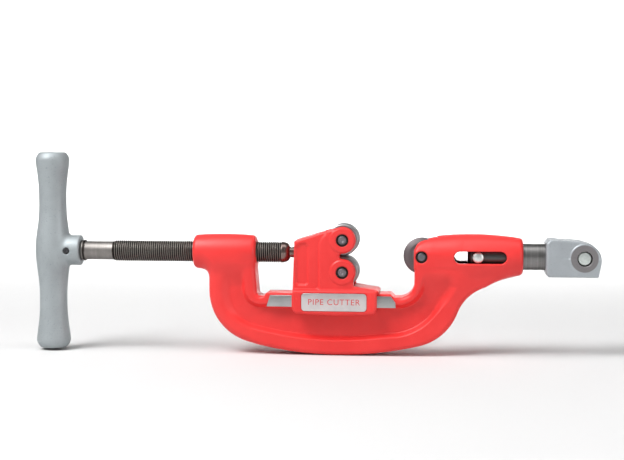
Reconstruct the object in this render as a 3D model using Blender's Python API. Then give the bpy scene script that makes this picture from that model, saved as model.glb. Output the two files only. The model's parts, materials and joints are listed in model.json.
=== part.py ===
"""Full-floating, self-centring pipe cutter for the carriage of a pipe threading machine.

The origin is on the axis of the pivot pin that hangs the tool on the carriage, in the tool's middle
plane.  +X points away from the T-handle, +Y to the back and +Z up.  Lengths are in millimetres and
become metres when a mesh or a location is made.
"""

from math import atan2, cos, pi, radians, sin, sqrt

import bmesh
import bpy

MM = 0.001
GAP = 0.3            # clearance between pieces that touch or run on each other
FINE = 32            # sides of a large round piece
COARSE = 20          # sides of a small round piece
OUT = 30.0           # distance from the middle plane that is clear of every piece

# Stations along X, each from the piece before it in the chain of moving bodies
WHEEL_X = -144.3     # cutter wheel axis, from the pivot axis
ROLLERS_X = -71.0    # roller axes, from the cutter wheel axis
SCREW_X = -44.5      # feed screw's reference face, just inside the saddle's end wall, from the roller axes
SCREW_Z = 2.0        # feed screw axis above the wheel axis

# Frame casting, from the cutter wheel axis
RIM_HALF = 14.2      # half width of the arch's rims
WEB_HALF = 8.0       # half width of the web between the rims
PAD_HALF = 15.0      # half width over the rail's machined pads
FORK_HALF = 18.0     # half width of the fork that holds the wheel
ARM_OUT_X = -193.2   # outer face of the left arm
ARM_IN_X = -149.0    # inner face of the left arm, at its foot
ARM_SLANT = 2.5      # the same face lies this much further out at the boss
CLAW_X = -6.3        # throat wall on the wheel's side
BOTTOM_X = -76.0     # lowest point of the arch
BOTTOM_Z = -90.0
BOTTOM_R = 318.0
CORNER_L = (-145.0, 48.2)   # X of the centre and radius of the arch's left corner
CORNER_R = (-13.7, 49.4)    # the same for the right corner
ARMPIT_R = 38.0      # hollow curve between the right corner and the barrel
ARMPIT_START = -20.2        # angle at which the right corner ends
BARREL_SLOPE = 17.0  # slope of the arm's underside where it meets the barrel
RAIL_Z = -34.0
RAIL_X = (-140.0, -27.5)
RAIL_HIGH = 12.2     # height of the machined pads
FLOOR_Z = -37.2      # throat floor beside the rail
THROAT_R = 14.3
LUG_X = -7.7         # front of the fork's nose
LUG_R = 18.0         # its radius
BOSS_X = (-208.2, -150.4)
BOSS_R = 16.4
BOSS_CROWN_R = 320.0 # the boss is slightly barrel-shaped
BOSS_EDGE = 3.0
BARREL_X = (8.0, 90.6)
BARREL_R = 20.2
BARREL_CROWN_X = 46.0
BARREL_CROWN_R = 270.0
BARREL_EDGE = 3.0
INNER_RIM = 12.2     # thickness of the rim along the throat
OUTER_RIM = 15.0     # thickness of the rim along the outside
SLOT_X = (29.1, 75.9)
SLOT_R = 5.5
BORE_X = 23.5        # end of the shaft's bore

# Wheel, rollers and their axles
WHEEL_R = 16.7
WHEEL_HUB_R = 8.0
WHEEL_HUB_HALF = 6.8
WHEEL_FLANK = 5.0    # depth of the ground edge
WHEEL_DISC_HALF = 2.0
WHEEL_PIN_R = 3.6
ROLLER_R = 14.2
ROLLER_HALF = 12.0
ROLLER_PITCH = 29.0
ROLLER_EDGE = 0.8
ROLLER_PIN_R = 3.9
RING_WALL = 1.2
RING_THICK = 1.2

# Saddle, from the midpoint between the roller axes
CHEEK_HALF = 19.0
CHEEK_GAP_HALF = 12.4
ROLLER_BOSS_R = 12.0
SADDLE_X = (-45.0, 33.0)
SADDLE_TOP_Z = 13.2
POCKET_X = -17.0     # end of the room for the rollers
SKIRT_HALF = 22.0
SKIRT_X = (-44.5, 31.3)
SKIRT_Z = (-53.0, -30.5)
HOOK_Z = -46.6       # top of the hooks under the rail
HOOK_IN = 10.0       # how near to the middle plane the hooks reach
TOE_X = 10.5
PLATE_X = (-36.4, 22.2)
PLATE_Z = (-49.1, -33.2)
PLATE_CORNER_R = 3.0
PLATE_THICK = 0.8
BOSS_FACE = 1.0      # how far the faces round the roller pins stand proud of the cheeks
RECESS_DEEP = 3.0    # depth of the hollow in each cheek
RETAINING_PIN_R = 1.5
RETAINING_PIN_Z = (-8.5, 12.0)
KEEPER_THICK = 5.0
KEEPER_SCREW_INSET = 14.0   # from the skirt's ends
KEEPER_SCREW_Y = 18.7
KEEPER_SCREW_R = 1.9
KEEPER_HEAD_R = 3.2
KEEPER_HEAD_HIGH = 2.6

# Feed screw and handle, from the screw's reference face
THREAD_R = 9.5
SHANK_R = 8.3
NECK_R = 4.7
THREAD_X = (-168.1, -12.2)
DOME_END_X = -4.9
NOSE_X = 12.5
NOSE_GROOVE = (6.0, 9.4)
NOSE_GROOVE_R = 3.1
COLLAR_X = (-198.1, -195.8)
COLLAR_R = 9.2
SNAP_RING_WIDE = 1.3
HANDLE_X = -224.9
HANDLE_HALF = 90.2
GRIP_R = 14.35       # mean radius of the grip
GRIP_SWELL = 1.8     # how far the grip swells and narrows about it
GRIP_WAVE = 92.0     # distance from one swell to the next
GRIP_END = 83.0      # where the rounding of the ends starts
GRIP_END_R = 9.5     # radius of that rounding
CORE_R = 8.5         # the grip is cored from both ends
CORE_DEEP = 45.0
HUB_R = 13.8
HUB_FACE_X = -198.2
DRIVE_PIN_X = -209.6
DRIVE_PIN_R = 2.8

# Shaft and bracket, from the pivot axis
SHAFT_R = 11.7
SHAFT_X = (-103.2, -15.1)
GUIDE_PIN_X = -93.9
GUIDE_PIN_R = 4.85
BRACKET_X = (-34.0, 15.1)
BRACKET_HALF = 17.0
BRACKET_TOP_Z = 16.6
BRACKET_BOTTOM_Z = -16.8
NOSE_CENTRE = (-0.3, -2.1)   # of the bracket's round end
NOSE_R = 15.4
LOCK_PIN_X = -23.6
LOCK_PIN_R = 2.5
SET_SCREW_Y = 5.0    # the pivot pin's set screw, in the bracket's underside
SET_SCREW_R = 3.0
DOG_R = 1.6          # its point, which enters the pivot pin's groove
PIN_GROOVE_R = 4.6
PIVOT_R = 6.0
EYE_R = 12.2
SPOT_FACE_DEEP = 1.3
BRACKET_STEP = 0.8   # the front face's lower half lies this much further back
COLLAR_BACK_R = 10.5
COLLAR_BACK_WIDE = 4.0
SPIGOT_R = 8.0
SPIGOT_END_Y = 55.0

RED = (0.82, 0.07, 0.06)
CAST_GREY = (0.42, 0.45, 0.47)
BRIGHT = (0.62, 0.62, 0.60)
BLACK_OXIDE = (0.05, 0.045, 0.04)
WHEEL_STEEL = (0.16, 0.14, 0.13)

# ---------------------------------------------------------------- mesh helpers


def arc(centre, radius, start, end, steps=8):
    """Points on a circle from one angle to another, in degrees."""
    points = []
    for i in range(steps + 1):
        angle = radians(start + (end - start) * i / steps)
        points.append((centre[0] + radius * cos(angle), centre[1] + radius * sin(angle)))
    return points


def box(x, z):
    """The outline of a rectangle between two pairs of limits."""
    return [(x[0], z[0]), (x[1], z[0]), (x[1], z[1]), (x[0], z[1])]


def offset(outline, distance):
    """Move each corner of a closed outline outwards, or inwards where distance is negative."""
    area = sum(a[0] * b[1] - b[0] * a[1] for a, b in zip(outline, outline[1:] + outline[:1]))
    side = 1.0 if area > 0 else -1.0
    moved = []
    for i, (x, z) in enumerate(outline):
        before = outline[i - 1]
        after = outline[(i + 1) % len(outline)]
        a = atan2(z - before[1], x - before[0])
        b = atan2(after[1] - z, after[0] - x)
        half = ((b - a + pi) % (2 * pi) - pi) / 2
        normal = a + half - side * pi / 2
        reach = distance / max(cos(half), 0.5)
        moved.append((x + reach * cos(normal), z + reach * sin(normal)))
    return moved


def to_mesh(name, rings, closed):
    """Bridge equal rings of points into a solid; an open solid gets a face on each end."""
    bm = bmesh.new()
    made = [[bm.verts.new([c * MM for c in point]) for point in ring] for ring in rings]
    count = len(made[0])
    pairs = list(zip(made, made[1:]))
    if closed:
        pairs.append((made[-1], made[0]))
    for low, high in pairs:
        for i in range(count):
            j = (i + 1) % count
            bm.faces.new((low[i], low[j], high[j], high[i]))
    if not closed:
        bm.faces.new(made[0])
        bm.faces.new(made[-1])
    bmesh.ops.recalc_face_normals(bm, faces=bm.faces)
    mesh = bpy.data.meshes.new(name)
    bm.to_mesh(mesh)
    bm.free()
    solid = bpy.data.objects.new(name, mesh)
    bpy.context.scene.collection.objects.link(solid)
    return solid


def prism(name, outline, y, chamfer=0.0):
    """An outline in X and Z, carried from one Y to another, with its end edges chamfered."""
    levels = [(y[0], 0.0), (y[1], 0.0)]
    if chamfer:
        levels = [(y[0], -chamfer), (y[0] + chamfer, 0.0), (y[1] - chamfer, 0.0), (y[1], -chamfer)]
    rings = [[(px, depth, pz) for px, pz in offset(outline, inset)] for depth, inset in levels]
    return to_mesh(name, rings, closed=False)


def turned(name, profile, axis="X", centre=(0.0, 0.0, 0.0), sides=FINE, ring=False):
    """Turn (along, radius) points about an axis; with ring, the profile is a closed loop."""
    rings = []
    for along, radius in profile:
        points = []
        for i in range(sides):
            angle = 2 * pi * (i + 0.5) / sides
            u = radius * cos(angle)
            v = radius * sin(angle)
            offsets = {"X": (along, u, v), "Y": (u, along, v), "Z": (u, v, along)}[axis]
            points.append(tuple(c + o for c, o in zip(centre, offsets)))
        rings.append(points)
    return to_mesh(name, rings, closed=ring)


def rod(name, radius, ends, axis="Y", centre=(0.0, 0.0, 0.0), chamfer=0.5, sides=COARSE):
    """A round bar with chamfered ends."""
    profile = [(ends[0], radius), (ends[1], radius)]
    if chamfer:
        profile = [(ends[0], radius - chamfer), (ends[0] + chamfer, radius),
                   (ends[1] - chamfer, radius), (ends[1], radius - chamfer)]
    return turned(name, profile, axis, centre, sides)


def combine(target, tool, operation):
    """Join a tool to a solid or cut it away, and drop the tool."""
    modifier = target.modifiers.new(operation.lower(), "BOOLEAN")
    modifier.operation = operation
    modifier.solver = "EXACT"
    modifier.object = tool
    bpy.context.view_layer.update()
    evaluated = target.evaluated_get(bpy.context.evaluated_depsgraph_get())
    result = bpy.data.meshes.new_from_object(evaluated)
    target.modifiers.clear()
    target.data = result
    bpy.data.objects.remove(tool)


def join(target, *tools):
    for tool in tools:
        combine(target, tool, "UNION")


def cut(target, *tools):
    for tool in tools:
        combine(target, tool, "DIFFERENCE")


def material(name, colour, roughness, metallic):
    made = bpy.data.materials.new(name)
    made.use_nodes = True
    shader = made.node_tree.nodes["Principled BSDF"]
    shader.inputs["Base Color"].default_value = (*colour, 1.0)
    shader.inputs["Roughness"].default_value = roughness
    shader.inputs["Metallic"].default_value = metallic
    return made


def finish(solid, parent, colour, roughness=0.4, metallic=1.0):
    """Name the mesh, shade it, give it its material and hang it on its moving body."""
    solid.data.name = solid.name
    solid.data.materials.clear()
    solid.data.materials.append(material(solid.name, colour, roughness, metallic))
    solid.data.shade_smooth()
    solid.data.set_sharp_from_angle(angle=radians(30))
    solid.parent = parent
    return solid


def body(name, parent=None, x=0.0, z=0.0):
    """An empty on the axis of a moving body."""
    empty = bpy.data.objects.new(name, None)
    empty.location = (x * MM, 0.0, z * MM)
    empty.parent = parent
    bpy.context.scene.collection.objects.link(empty)
    return empty


# ---------------------------------------------------------------- frame casting


def arch_curves():
    """The arch's outer curve, from the left arm down, along the bottom and up to the barrel."""
    bottom = (BOTTOM_X, BOTTOM_Z + BOTTOM_R)
    left_drop = sqrt((BOTTOM_R - CORNER_L[1]) ** 2 - (CORNER_L[0] - BOTTOM_X) ** 2)
    right_drop = sqrt((BOTTOM_R - CORNER_R[1]) ** 2 - (CORNER_R[0] - BOTTOM_X) ** 2)
    left = (CORNER_L[0], bottom[1] - left_drop)
    right = (CORNER_R[0], bottom[1] - right_drop)
    left_angle = atan2(-left_drop, CORNER_L[0] - BOTTOM_X) * 180 / pi
    right_angle = atan2(-right_drop, CORNER_R[0] - BOTTOM_X) * 180 / pi
    reach = CORNER_R[1] + ARMPIT_R
    armpit = (right[0] + reach * cos(radians(ARMPIT_START)), right[1] + reach * sin(radians(ARMPIT_START)))
    return {
        "left": (left, CORNER_L[1], -180.0, left_angle),
        "bottom": (bottom, BOTTOM_R, left_angle, right_angle),
        "right": (right, CORNER_R[1], right_angle, ARMPIT_START),
        "armpit": (armpit, ARMPIT_R, 180.0 + ARMPIT_START, 90.0 + BARREL_SLOPE),
    }


def frame_outline():
    """The C-frame's side view, from the left arm round the outside and back through the throat."""
    curves = arch_curves()
    outline = [(ARM_OUT_X, -3.0)]
    outline += arc(*curves["left"], 10)
    outline += arc(*curves["bottom"], 10)[1:]
    outline += arc(*curves["right"], 10)[1:]
    outline += arc(*curves["armpit"], 8)[1:]
    outline += [(BARREL_X[1] - 12.0, -14.0), (BARREL_X[1] - 12.0, 0.0), (20.0, 6.0)]
    outline += [(CLAW_X, 6.0)]
    outline += arc((CLAW_X - THROAT_R, FLOOR_Z + THROAT_R), THROAT_R, 0.0, -90.0, 6)
    outline += [(RAIL_X[1] + 3.2, FLOOR_Z), (RAIL_X[1], RAIL_Z), (RAIL_X[0], RAIL_Z)]
    outline += [(RAIL_X[0] - 2.2, FLOOR_Z)]
    outline += arc((ARM_IN_X + 4.0, FLOOR_Z + 4.0), 4.0, -90.0, -180.0, 3)
    outline += [(ARM_IN_X - ARM_SLANT, -3.0)]
    return outline


def web_pocket():
    """The hollow between the rims: the left arm's middle, the arch and a tapering right end."""
    curves = arch_curves()
    left_centre, left_r, left_from, left_to = curves["left"]
    bottom_centre, bottom_r, bottom_from, bottom_to = curves["bottom"]
    right_centre, right_r, right_from, _ = curves["right"]
    top_z = RAIL_Z - INNER_RIM
    outline = [(ARM_OUT_X + OUTER_RIM, -26.0)]
    outline += arc(left_centre, left_r - OUTER_RIM, left_from, left_to, 8)
    outline += arc(bottom_centre, bottom_r - OUTER_RIM, bottom_from, bottom_to, 8)[1:]
    outline += arc(right_centre, right_r - OUTER_RIM, right_from, -25.0, 6)[1:]
    outline += arc((6.0, top_z + 16.0), 14.0, 30.0, 180.0, 4)
    outline += arc((CLAW_X - THROAT_R, FLOOR_Z + THROAT_R), THROAT_R + INNER_RIM - 3.5, -25.0, -90.0, 5)
    outline += arc((ARM_IN_X + 4.0, top_z + 4.0 + INNER_RIM), 4.0 + INNER_RIM, -90.0, -180.0, 5)
    outline += arc((ARM_IN_X - INNER_RIM - 9.0, -26.0), 9.0, 0.0, 180.0, 6)[:-1]
    return outline


def crowned_profile(x, radius, crown_x, crown_r, edge, steps):
    """A barrel shape, widest at crown_x, with both of its ends rounded."""
    side = []
    for i in range(steps + 1):
        along = x[0] + edge + (x[1] - x[0] - 2 * edge) * i / steps
        side.append((along, radius - (along - crown_x) ** 2 / (2 * crown_r)))
    start = arc((x[0] + edge, side[0][1] - edge), edge, 180.0, 120.0, 2)
    end = arc((x[1] - edge, side[-1][1] - edge), edge, 60.0, 0.0, 2)
    return start + side + end


def frame_casting(parent):
    frame = prism("frame_casting", frame_outline(), (-RIM_HALF, RIM_HALF), chamfer=2.2)
    crown = crowned_profile(BOSS_X, BOSS_R, sum(BOSS_X) / 2, BOSS_CROWN_R, BOSS_EDGE, steps=6)
    boss = turned("boss", crown, "X", (0.0, 0.0, SCREW_Z))
    fork_outline = [(CLAW_X, -24.0)]
    fork_outline += [(24.0, -42.0), (44.0, -22.0), (44.0, 14.0), (26.0, BARREL_R - 2.5)]
    fork_outline += arc((LUG_X + LUG_R, 0.0), LUG_R, 100.0, 190.0, 8)
    fork = prism("fork", fork_outline, (-FORK_HALF, FORK_HALF), chamfer=3.0)
    crown = crowned_profile(BARREL_X, BARREL_R, BARREL_CROWN_X, BARREL_CROWN_R, BARREL_EDGE, steps=8)
    barrel = turned("barrel", crown)
    join(frame, boss, fork, barrel)
    pad_outline = [(RAIL_X[0] + 1.0, RAIL_Z - 0.4), (RAIL_X[1] - 0.4, RAIL_Z - 0.4),
                   (RAIL_X[1] + 3.8, RAIL_Z - 5.0), (RAIL_X[1] + 4.6, RAIL_Z - RAIL_HIGH),
                   (RAIL_X[0] + 0.4, RAIL_Z - RAIL_HIGH)]
    join(frame, prism("pads", pad_outline, (-PAD_HALF, PAD_HALF)))
    for side in (-1.0, 1.0):
        depths = sorted((side * WEB_HALF, side * OUT))
        cut(frame, prism("pocket", web_pocket(), depths))
    room = WHEEL_R + 0.8
    well = arc((0.0, 0.0), room, 0.0, -90.0, 8) + [(-OUT, -room), (-OUT, OUT), (room, OUT)]
    cut(frame, prism("wheel_slot", well, (-WHEEL_HUB_HALF - GAP, WHEEL_HUB_HALF + GAP)))
    slot = arc((SLOT_X[0] + SLOT_R, 0.0), SLOT_R, 90.0, 270.0)
    slot += arc((SLOT_X[1] - SLOT_R, 0.0), SLOT_R, -90.0, 90.0)
    cut(frame, prism("guide_slot", slot, (-OUT, OUT)))
    cut(frame, turned("shaft_bore", [(BORE_X, SHAFT_R + GAP), (BARREL_X[1] + OUT, SHAFT_R + GAP)]))
    screw_bore = [(BOSS_X[0] - 5.0, THREAD_R + GAP), (BOSS_X[1] + 5.0, THREAD_R + GAP)]
    cut(frame, turned("screw_bore", screw_bore, "X", (0.0, 0.0, SCREW_Z)))
    cut(frame, rod("pin_hole", WHEEL_PIN_R + GAP, (-OUT, OUT), chamfer=0.0))
    for side in (-1.0, 1.0):
        ends = sorted((side * (FORK_HALF - RING_THICK - GAP), side * OUT))
        cut(frame, rod("ring_seat", WHEEL_PIN_R + RING_WALL + 2 * GAP, ends, chamfer=0.0))
    return finish(frame, parent, RED, roughness=0.35, metallic=0.0)


# ---------------------------------------------------------------- axles, rings and rolling pieces


def retaining_ring(name, parent, pin_r, outer_y, side, z=0.0):
    """A flat ring round an axle's end; outer_y is how far out its face lies."""
    inner = pin_r + GAP
    outer = inner + RING_WALL
    low, high = sorted((side * (outer_y - RING_THICK), side * outer_y))
    loop = [(low, inner), (low, outer), (high, outer), (high, inner)]
    ring = turned(name, loop, "Y", (0.0, 0.0, z), COARSE, ring=True)
    return finish(ring, parent, BLACK_OXIDE, roughness=0.5)


def cutter_wheel(parent):
    hub = WHEEL_PIN_R + GAP
    disc = WHEEL_DISC_HALF
    flank_r = WHEEL_R - WHEEL_FLANK
    loop = [(-WHEEL_HUB_HALF, hub), (-WHEEL_HUB_HALF, WHEEL_HUB_R), (-disc, WHEEL_HUB_R), (-disc, flank_r),
            (-0.15, WHEEL_R), (0.15, WHEEL_R), (disc, flank_r), (disc, WHEEL_HUB_R),
            (WHEEL_HUB_HALF, WHEEL_HUB_R), (WHEEL_HUB_HALF, hub)]
    wheel = turned("cutter_wheel", loop, "Y", ring=True)
    return finish(wheel, parent, WHEEL_STEEL, roughness=0.35)


def roller(name, parent):
    hole = ROLLER_PIN_R + GAP
    shoulder = ROLLER_HALF - ROLLER_EDGE
    edge_r = ROLLER_R - ROLLER_EDGE
    loop = [(-ROLLER_HALF, hole), (-ROLLER_HALF, edge_r), (-shoulder, ROLLER_R),
            (shoulder, ROLLER_R), (ROLLER_HALF, edge_r), (ROLLER_HALF, hole)]
    return finish(turned(name, loop, "Y", ring=True), parent, BRIGHT, roughness=0.3)


# ---------------------------------------------------------------- saddle


def cheek_outline():
    """Side view of the cheeks: sloping roof, two round bosses with a notch between, and the toe."""
    half = ROLLER_PITCH / 2
    rise = atan2(half + ROLLER_BOSS_R - 1.0 - SADDLE_TOP_Z, -SADDLE_X[0] - 5.0) * 180 / pi
    outline = [(SADDLE_X[0], SKIRT_Z[1] - 1.5), (SADDLE_X[0] + 1.4, SADDLE_TOP_Z)]
    outline += arc((0.0, half), ROLLER_BOSS_R, 90.0 + rise, -88.0, 14)
    outline += arc((0.0, -half), ROLLER_BOSS_R, 88.0, -34.0, 9)
    foot_z = SKIRT_Z[1] - 3.0
    outline += [(TOE_X, -27.0), (SADDLE_X[1] - 2.0, -30.2), (SADDLE_X[1], -31.5), (SADDLE_X[1], foot_z)]
    outline += [(SADDLE_X[1] - 4.0, foot_z), (SADDLE_X[0] + 4.0, foot_z)]
    return outline


def skirt_outline():
    """The skirt's lower edge is bowed, and its corners are rounded."""
    x0, x1 = SKIRT_X
    z0, z1 = SKIRT_Z
    left = [(x0 - 0.9, z1 - 4.0), (x0 - 0.9, z0 + 6.6), (x0 + 4.0, z0 + 2.6)]
    bow = [(x0 + 20.0, z0 + 0.6), ((x0 + x1) / 2, z0), (x1 - 20.0, z0 + 0.6)]
    right = [(x1 - 4.0, z0 + 2.6), (x1, z0 + 6.6), (x1, z1 - 1.0), (x1 - 2.0, z1)]
    return left + bow + right + [(x0 + 1.0, z1), (x0 - 0.2, z1 - 1.0)]


def slide_housing(parent):
    half = ROLLER_PITCH / 2
    housing = prism("slide_housing", cheek_outline(), (-CHEEK_HALF, CHEEK_HALF), chamfer=1.2)
    skirts = prism("skirts", skirt_outline(), (-SKIRT_HALF, SKIRT_HALF), chamfer=1.5)
    join(housing, skirts)
    for side in (-1.0, 1.0):
        for z in (-half, half):
            ends = sorted((side * 16.0, side * (CHEEK_HALF + BOSS_FACE)))
            join(housing, rod("boss_face", ROLLER_BOSS_R - 1.5, ends, centre=(0.0, 0.0, z), chamfer=0.6))
    inside = PAD_HALF + GAP
    cut(housing, prism("channel", box((-60.0, 60.0), (HOOK_Z, RAIL_Z + GAP)), (-inside, inside)))
    cut(housing, prism("under", box((-60.0, 60.0), (-60.0, HOOK_Z + 0.1)), (-HOOK_IN, OUT)))
    room = [(POCKET_X, 40.0), (POCKET_X, -29.4), (TOE_X - 3.5, -29.4), (TOE_X - 0.5, -26.8)]
    room += [(50.0, -26.8), (50.0, 40.0)]
    cut(housing, prism("roller_room", room, (-CHEEK_GAP_HALF, CHEEK_GAP_HALF)))
    hollow = [(-38.5, -25.0), (-39.0, 8.0), (-36.0, 11.0), (-33.0, 11.5)]
    hollow += [(-31.0, 9.0), (-31.0, -25.0), (-34.7, -28.0)]
    for side in (-1.0, 1.0):
        depths = sorted((side * (CHEEK_HALF - RECESS_DEEP), side * OUT))
        cut(housing, prism("recess", hollow, depths))
        for z in (-half, half):
            ends = sorted((side * (CHEEK_HALF + BOSS_FACE - RING_THICK - GAP), side * OUT))
            seat = ROLLER_PIN_R + RING_WALL + 2 * GAP
            cut(housing, rod("ring_seat", seat, ends, centre=(0.0, 0.0, z), chamfer=0.0))
    for z in (-half, half):
        cut(housing, rod("pin_hole", ROLLER_PIN_R + GAP, (-OUT, OUT), centre=(0.0, 0.0, z), chamfer=0.0))
    nose = [(SADDLE_X[0] - 5.0, NECK_R + GAP), (SCREW_X + NOSE_X + GAP, NECK_R + GAP)]
    cut(housing, turned("nose_bore", nose, "X", (0.0, 0.0, SCREW_Z)))
    pin_x, pin_y = retaining_pin_place()
    pin_bore = (RETAINING_PIN_Z[0] - 0.5, OUT)
    cut(housing, rod("pin_bore", RETAINING_PIN_R + GAP, pin_bore, "Z", (pin_x, pin_y, 0.0), chamfer=0.0))
    cut(housing, prism("plate_seat", plate_outline(GAP), (-OUT, -SKIRT_HALF + PLATE_THICK)))
    for x in keeper_screw_places():
        hole = (SKIRT_Z[0] - 5.0, HOOK_Z + 7.0)
        place = (x, KEEPER_SCREW_Y, 0.0)
        cut(housing, rod("screw_hole", KEEPER_SCREW_R + GAP, hole, "Z", place, chamfer=0.0))
    return finish(housing, parent, RED, roughness=0.35, metallic=0.0)


def retaining_pin_place():
    """The pin stands upright, tangent to the groove in the screw's nose."""
    x = SCREW_X + sum(NOSE_GROOVE) / 2
    return x, NOSE_GROOVE_R + RETAINING_PIN_R + GAP


def keeper_screw_places():
    return SKIRT_X[0] + KEEPER_SCREW_INSET, SKIRT_X[1] - KEEPER_SCREW_INSET


def plate_outline(grow=0.0):
    r = PLATE_CORNER_R
    x0, x1 = PLATE_X
    z0, z1 = PLATE_Z
    outline = arc((x0 + r, z0 + r), r, 180.0, 270.0, 3) + arc((x1 - r, z0 + r), r, 270.0, 360.0, 3)
    outline += arc((x1 - r, z1 - r), r, 0.0, 90.0, 3) + arc((x0 + r, z1 - r), r, 90.0, 180.0, 3)
    return offset(outline, grow)


def slide_keeper(parent):
    """The bar that hooks under the rail behind, and its two socket-head screws."""
    low, high = HOOK_Z - KEEPER_THICK, HOOK_Z - GAP
    x = (SKIRT_X[0] + 5.0, SKIRT_X[1] - 5.0)
    keeper = prism("slide_keeper", box(x, (low, high)), (HOOK_IN, SKIRT_HALF - 0.5), chamfer=0.8)
    head_z = low - GAP
    floor_z = head_z - KEEPER_HEAD_HIGH
    for number, screw_x in enumerate(keeper_screw_places(), start=1):
        place = (screw_x, KEEPER_SCREW_Y, 0.0)
        cut(keeper, rod("hole", KEEPER_SCREW_R + GAP, (low - 5.0, high + 5.0), "Z", place, chamfer=0.0))
        profile = [(floor_z, KEEPER_HEAD_R - 0.6), (floor_z + 0.4, KEEPER_HEAD_R), (head_z, KEEPER_HEAD_R),
                   (head_z, KEEPER_SCREW_R), (HOOK_Z + 6.0, KEEPER_SCREW_R)]
        screw = turned(f"keeper_screw_{number}", profile, "Z", place, COARSE)
        cut(screw, rod("socket", 1.5, (floor_z - 1.0, floor_z + 1.6), "Z", place, chamfer=0.0, sides=6))
        finish(screw, parent, BLACK_OXIDE, roughness=0.45)
    finish(keeper, parent, BLACK_OXIDE, roughness=0.5)


def saddle_fittings(parent):
    """Nameplate, keeper with its screws, the screw's retaining pin, and the axles with their rings."""
    plate_y = (-SKIRT_HALF - GAP, -SKIRT_HALF + PLATE_THICK - GAP)
    plate = prism("nameplate", plate_outline(), plate_y)
    finish(plate, parent, BRIGHT, roughness=0.45)
    slide_keeper(parent)
    pin_x, pin_y = retaining_pin_place()
    pin = rod("screw_retaining_pin", RETAINING_PIN_R, RETAINING_PIN_Z, "Z", (pin_x, pin_y, 0.0), chamfer=0.3)
    finish(pin, parent, BRIGHT, roughness=0.35)
    for where, z in (("upper", ROLLER_PITCH / 2), ("lower", -ROLLER_PITCH / 2)):
        reach = CHEEK_HALF + BOSS_FACE
        axle = rod(f"{where}_roller_pin", ROLLER_PIN_R, (-reach, reach), centre=(0.0, 0.0, z))
        finish(axle, parent, BRIGHT, roughness=0.4)
        retaining_ring(f"{where}_pin_ring_front", parent, ROLLER_PIN_R, reach, -1.0, z)
        retaining_ring(f"{where}_pin_ring_back", parent, ROLLER_PIN_R, reach, 1.0, z)


# ---------------------------------------------------------------- feed screw and handle


def feed_screw(parent):
    dome = []
    for i in range(1, 6):
        angle = radians(90.0 * i / 6)
        along = THREAD_X[1] + (DOME_END_X - THREAD_X[1]) * sin(angle)
        dome.append((along, NECK_R + 1.0 + (THREAD_R - NECK_R - 1.0) * cos(angle)))
    profile = [(HANDLE_X + 2.0, SHANK_R), (COLLAR_X[0] + 1.2, SHANK_R), (COLLAR_X[0] + 1.2, COLLAR_R)]
    profile += [(COLLAR_X[1], COLLAR_R), (COLLAR_X[1], SHANK_R)]
    profile += [(THREAD_X[0] - 1.5, SHANK_R), (THREAD_X[0] + 1.5, THREAD_R), (THREAD_X[1], THREAD_R)]
    profile += dome + [(DOME_END_X, NECK_R + 1.0), (DOME_END_X, NECK_R)]
    profile += [(NOSE_GROOVE[0], NECK_R), (NOSE_GROOVE[0], NOSE_GROOVE_R)]
    profile += [(NOSE_GROOVE[1], NOSE_GROOVE_R), (NOSE_GROOVE[1], NECK_R)]
    profile += [(NOSE_X - 0.8, NECK_R), (NOSE_X, NECK_R - 0.8)]
    screw = turned("feed_screw", profile)
    cut(screw, rod("pin_hole", DRIVE_PIN_R + GAP, (-OUT, OUT), centre=(DRIVE_PIN_X, 0.0, 0.0), chamfer=0.0))
    return finish(screw, parent, BLACK_OXIDE, roughness=0.45)


def handle_radius(along):
    """Grip radius at a distance from the middle: full there and near the rounded ends."""
    wave = GRIP_R + GRIP_SWELL * cos(2 * pi * along / GRIP_WAVE)
    past = max(abs(along) - GRIP_END, 0.0)
    return wave - past ** 2 / (2 * GRIP_END_R)


def t_handle(parent):
    half = [HANDLE_HALF * i / 9 for i in range(9)] + [GRIP_END + 4.0, HANDLE_HALF]
    stations = sorted(set([-z for z in half] + half))
    profile = [(z, handle_radius(z)) for z in stations]
    handle = turned("t_handle", profile, "Z", (HANDLE_X, 0.0, 0.0))
    hub = [(HANDLE_X, HUB_R), (HUB_FACE_X - 1.8, HUB_R), (HUB_FACE_X, HUB_R - 2.2)]
    join(handle, turned("hub", hub))
    bore = turned("screw_bore", [(HANDLE_X + 2.0 - GAP, SHANK_R + GAP), (HUB_FACE_X + 5.0, SHANK_R + GAP)])
    cut(handle, bore)
    for side in (-1.0, 1.0):
        ends = sorted((side * (HANDLE_HALF - CORE_DEEP), side * (HANDLE_HALF + 5.0)))
        cut(handle, rod("core", CORE_R, ends, "Z", (HANDLE_X, 0.0, 0.0), chamfer=0.0))
    cut(handle, rod("pin_hole", DRIVE_PIN_R + GAP, (-OUT, OUT), centre=(DRIVE_PIN_X, 0.0, 0.0), chamfer=0.0))
    return finish(handle, parent, CAST_GREY, roughness=0.45, metallic=0.6)


def screw_fittings(parent):
    """The ring beside the screw's collar and the spring pin that fixes the handle."""
    low = COLLAR_X[1] + GAP
    high = low + SNAP_RING_WIDE
    inner = SHANK_R + GAP
    outer = COLLAR_R + 0.4
    loop = [(low, inner), (low, outer), (high, outer), (high, inner)]
    finish(turned("screw_snap_ring", loop, "X", ring=True), parent, BLACK_OXIDE, roughness=0.5)
    reach = HUB_R - 0.6
    pin = rod("handle_drive_pin", DRIVE_PIN_R, (-reach, reach), centre=(DRIVE_PIN_X, 0.0, 0.0))
    finish(pin, parent, BRIGHT, roughness=0.5)


# ---------------------------------------------------------------- shaft, bracket and pivot


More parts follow.
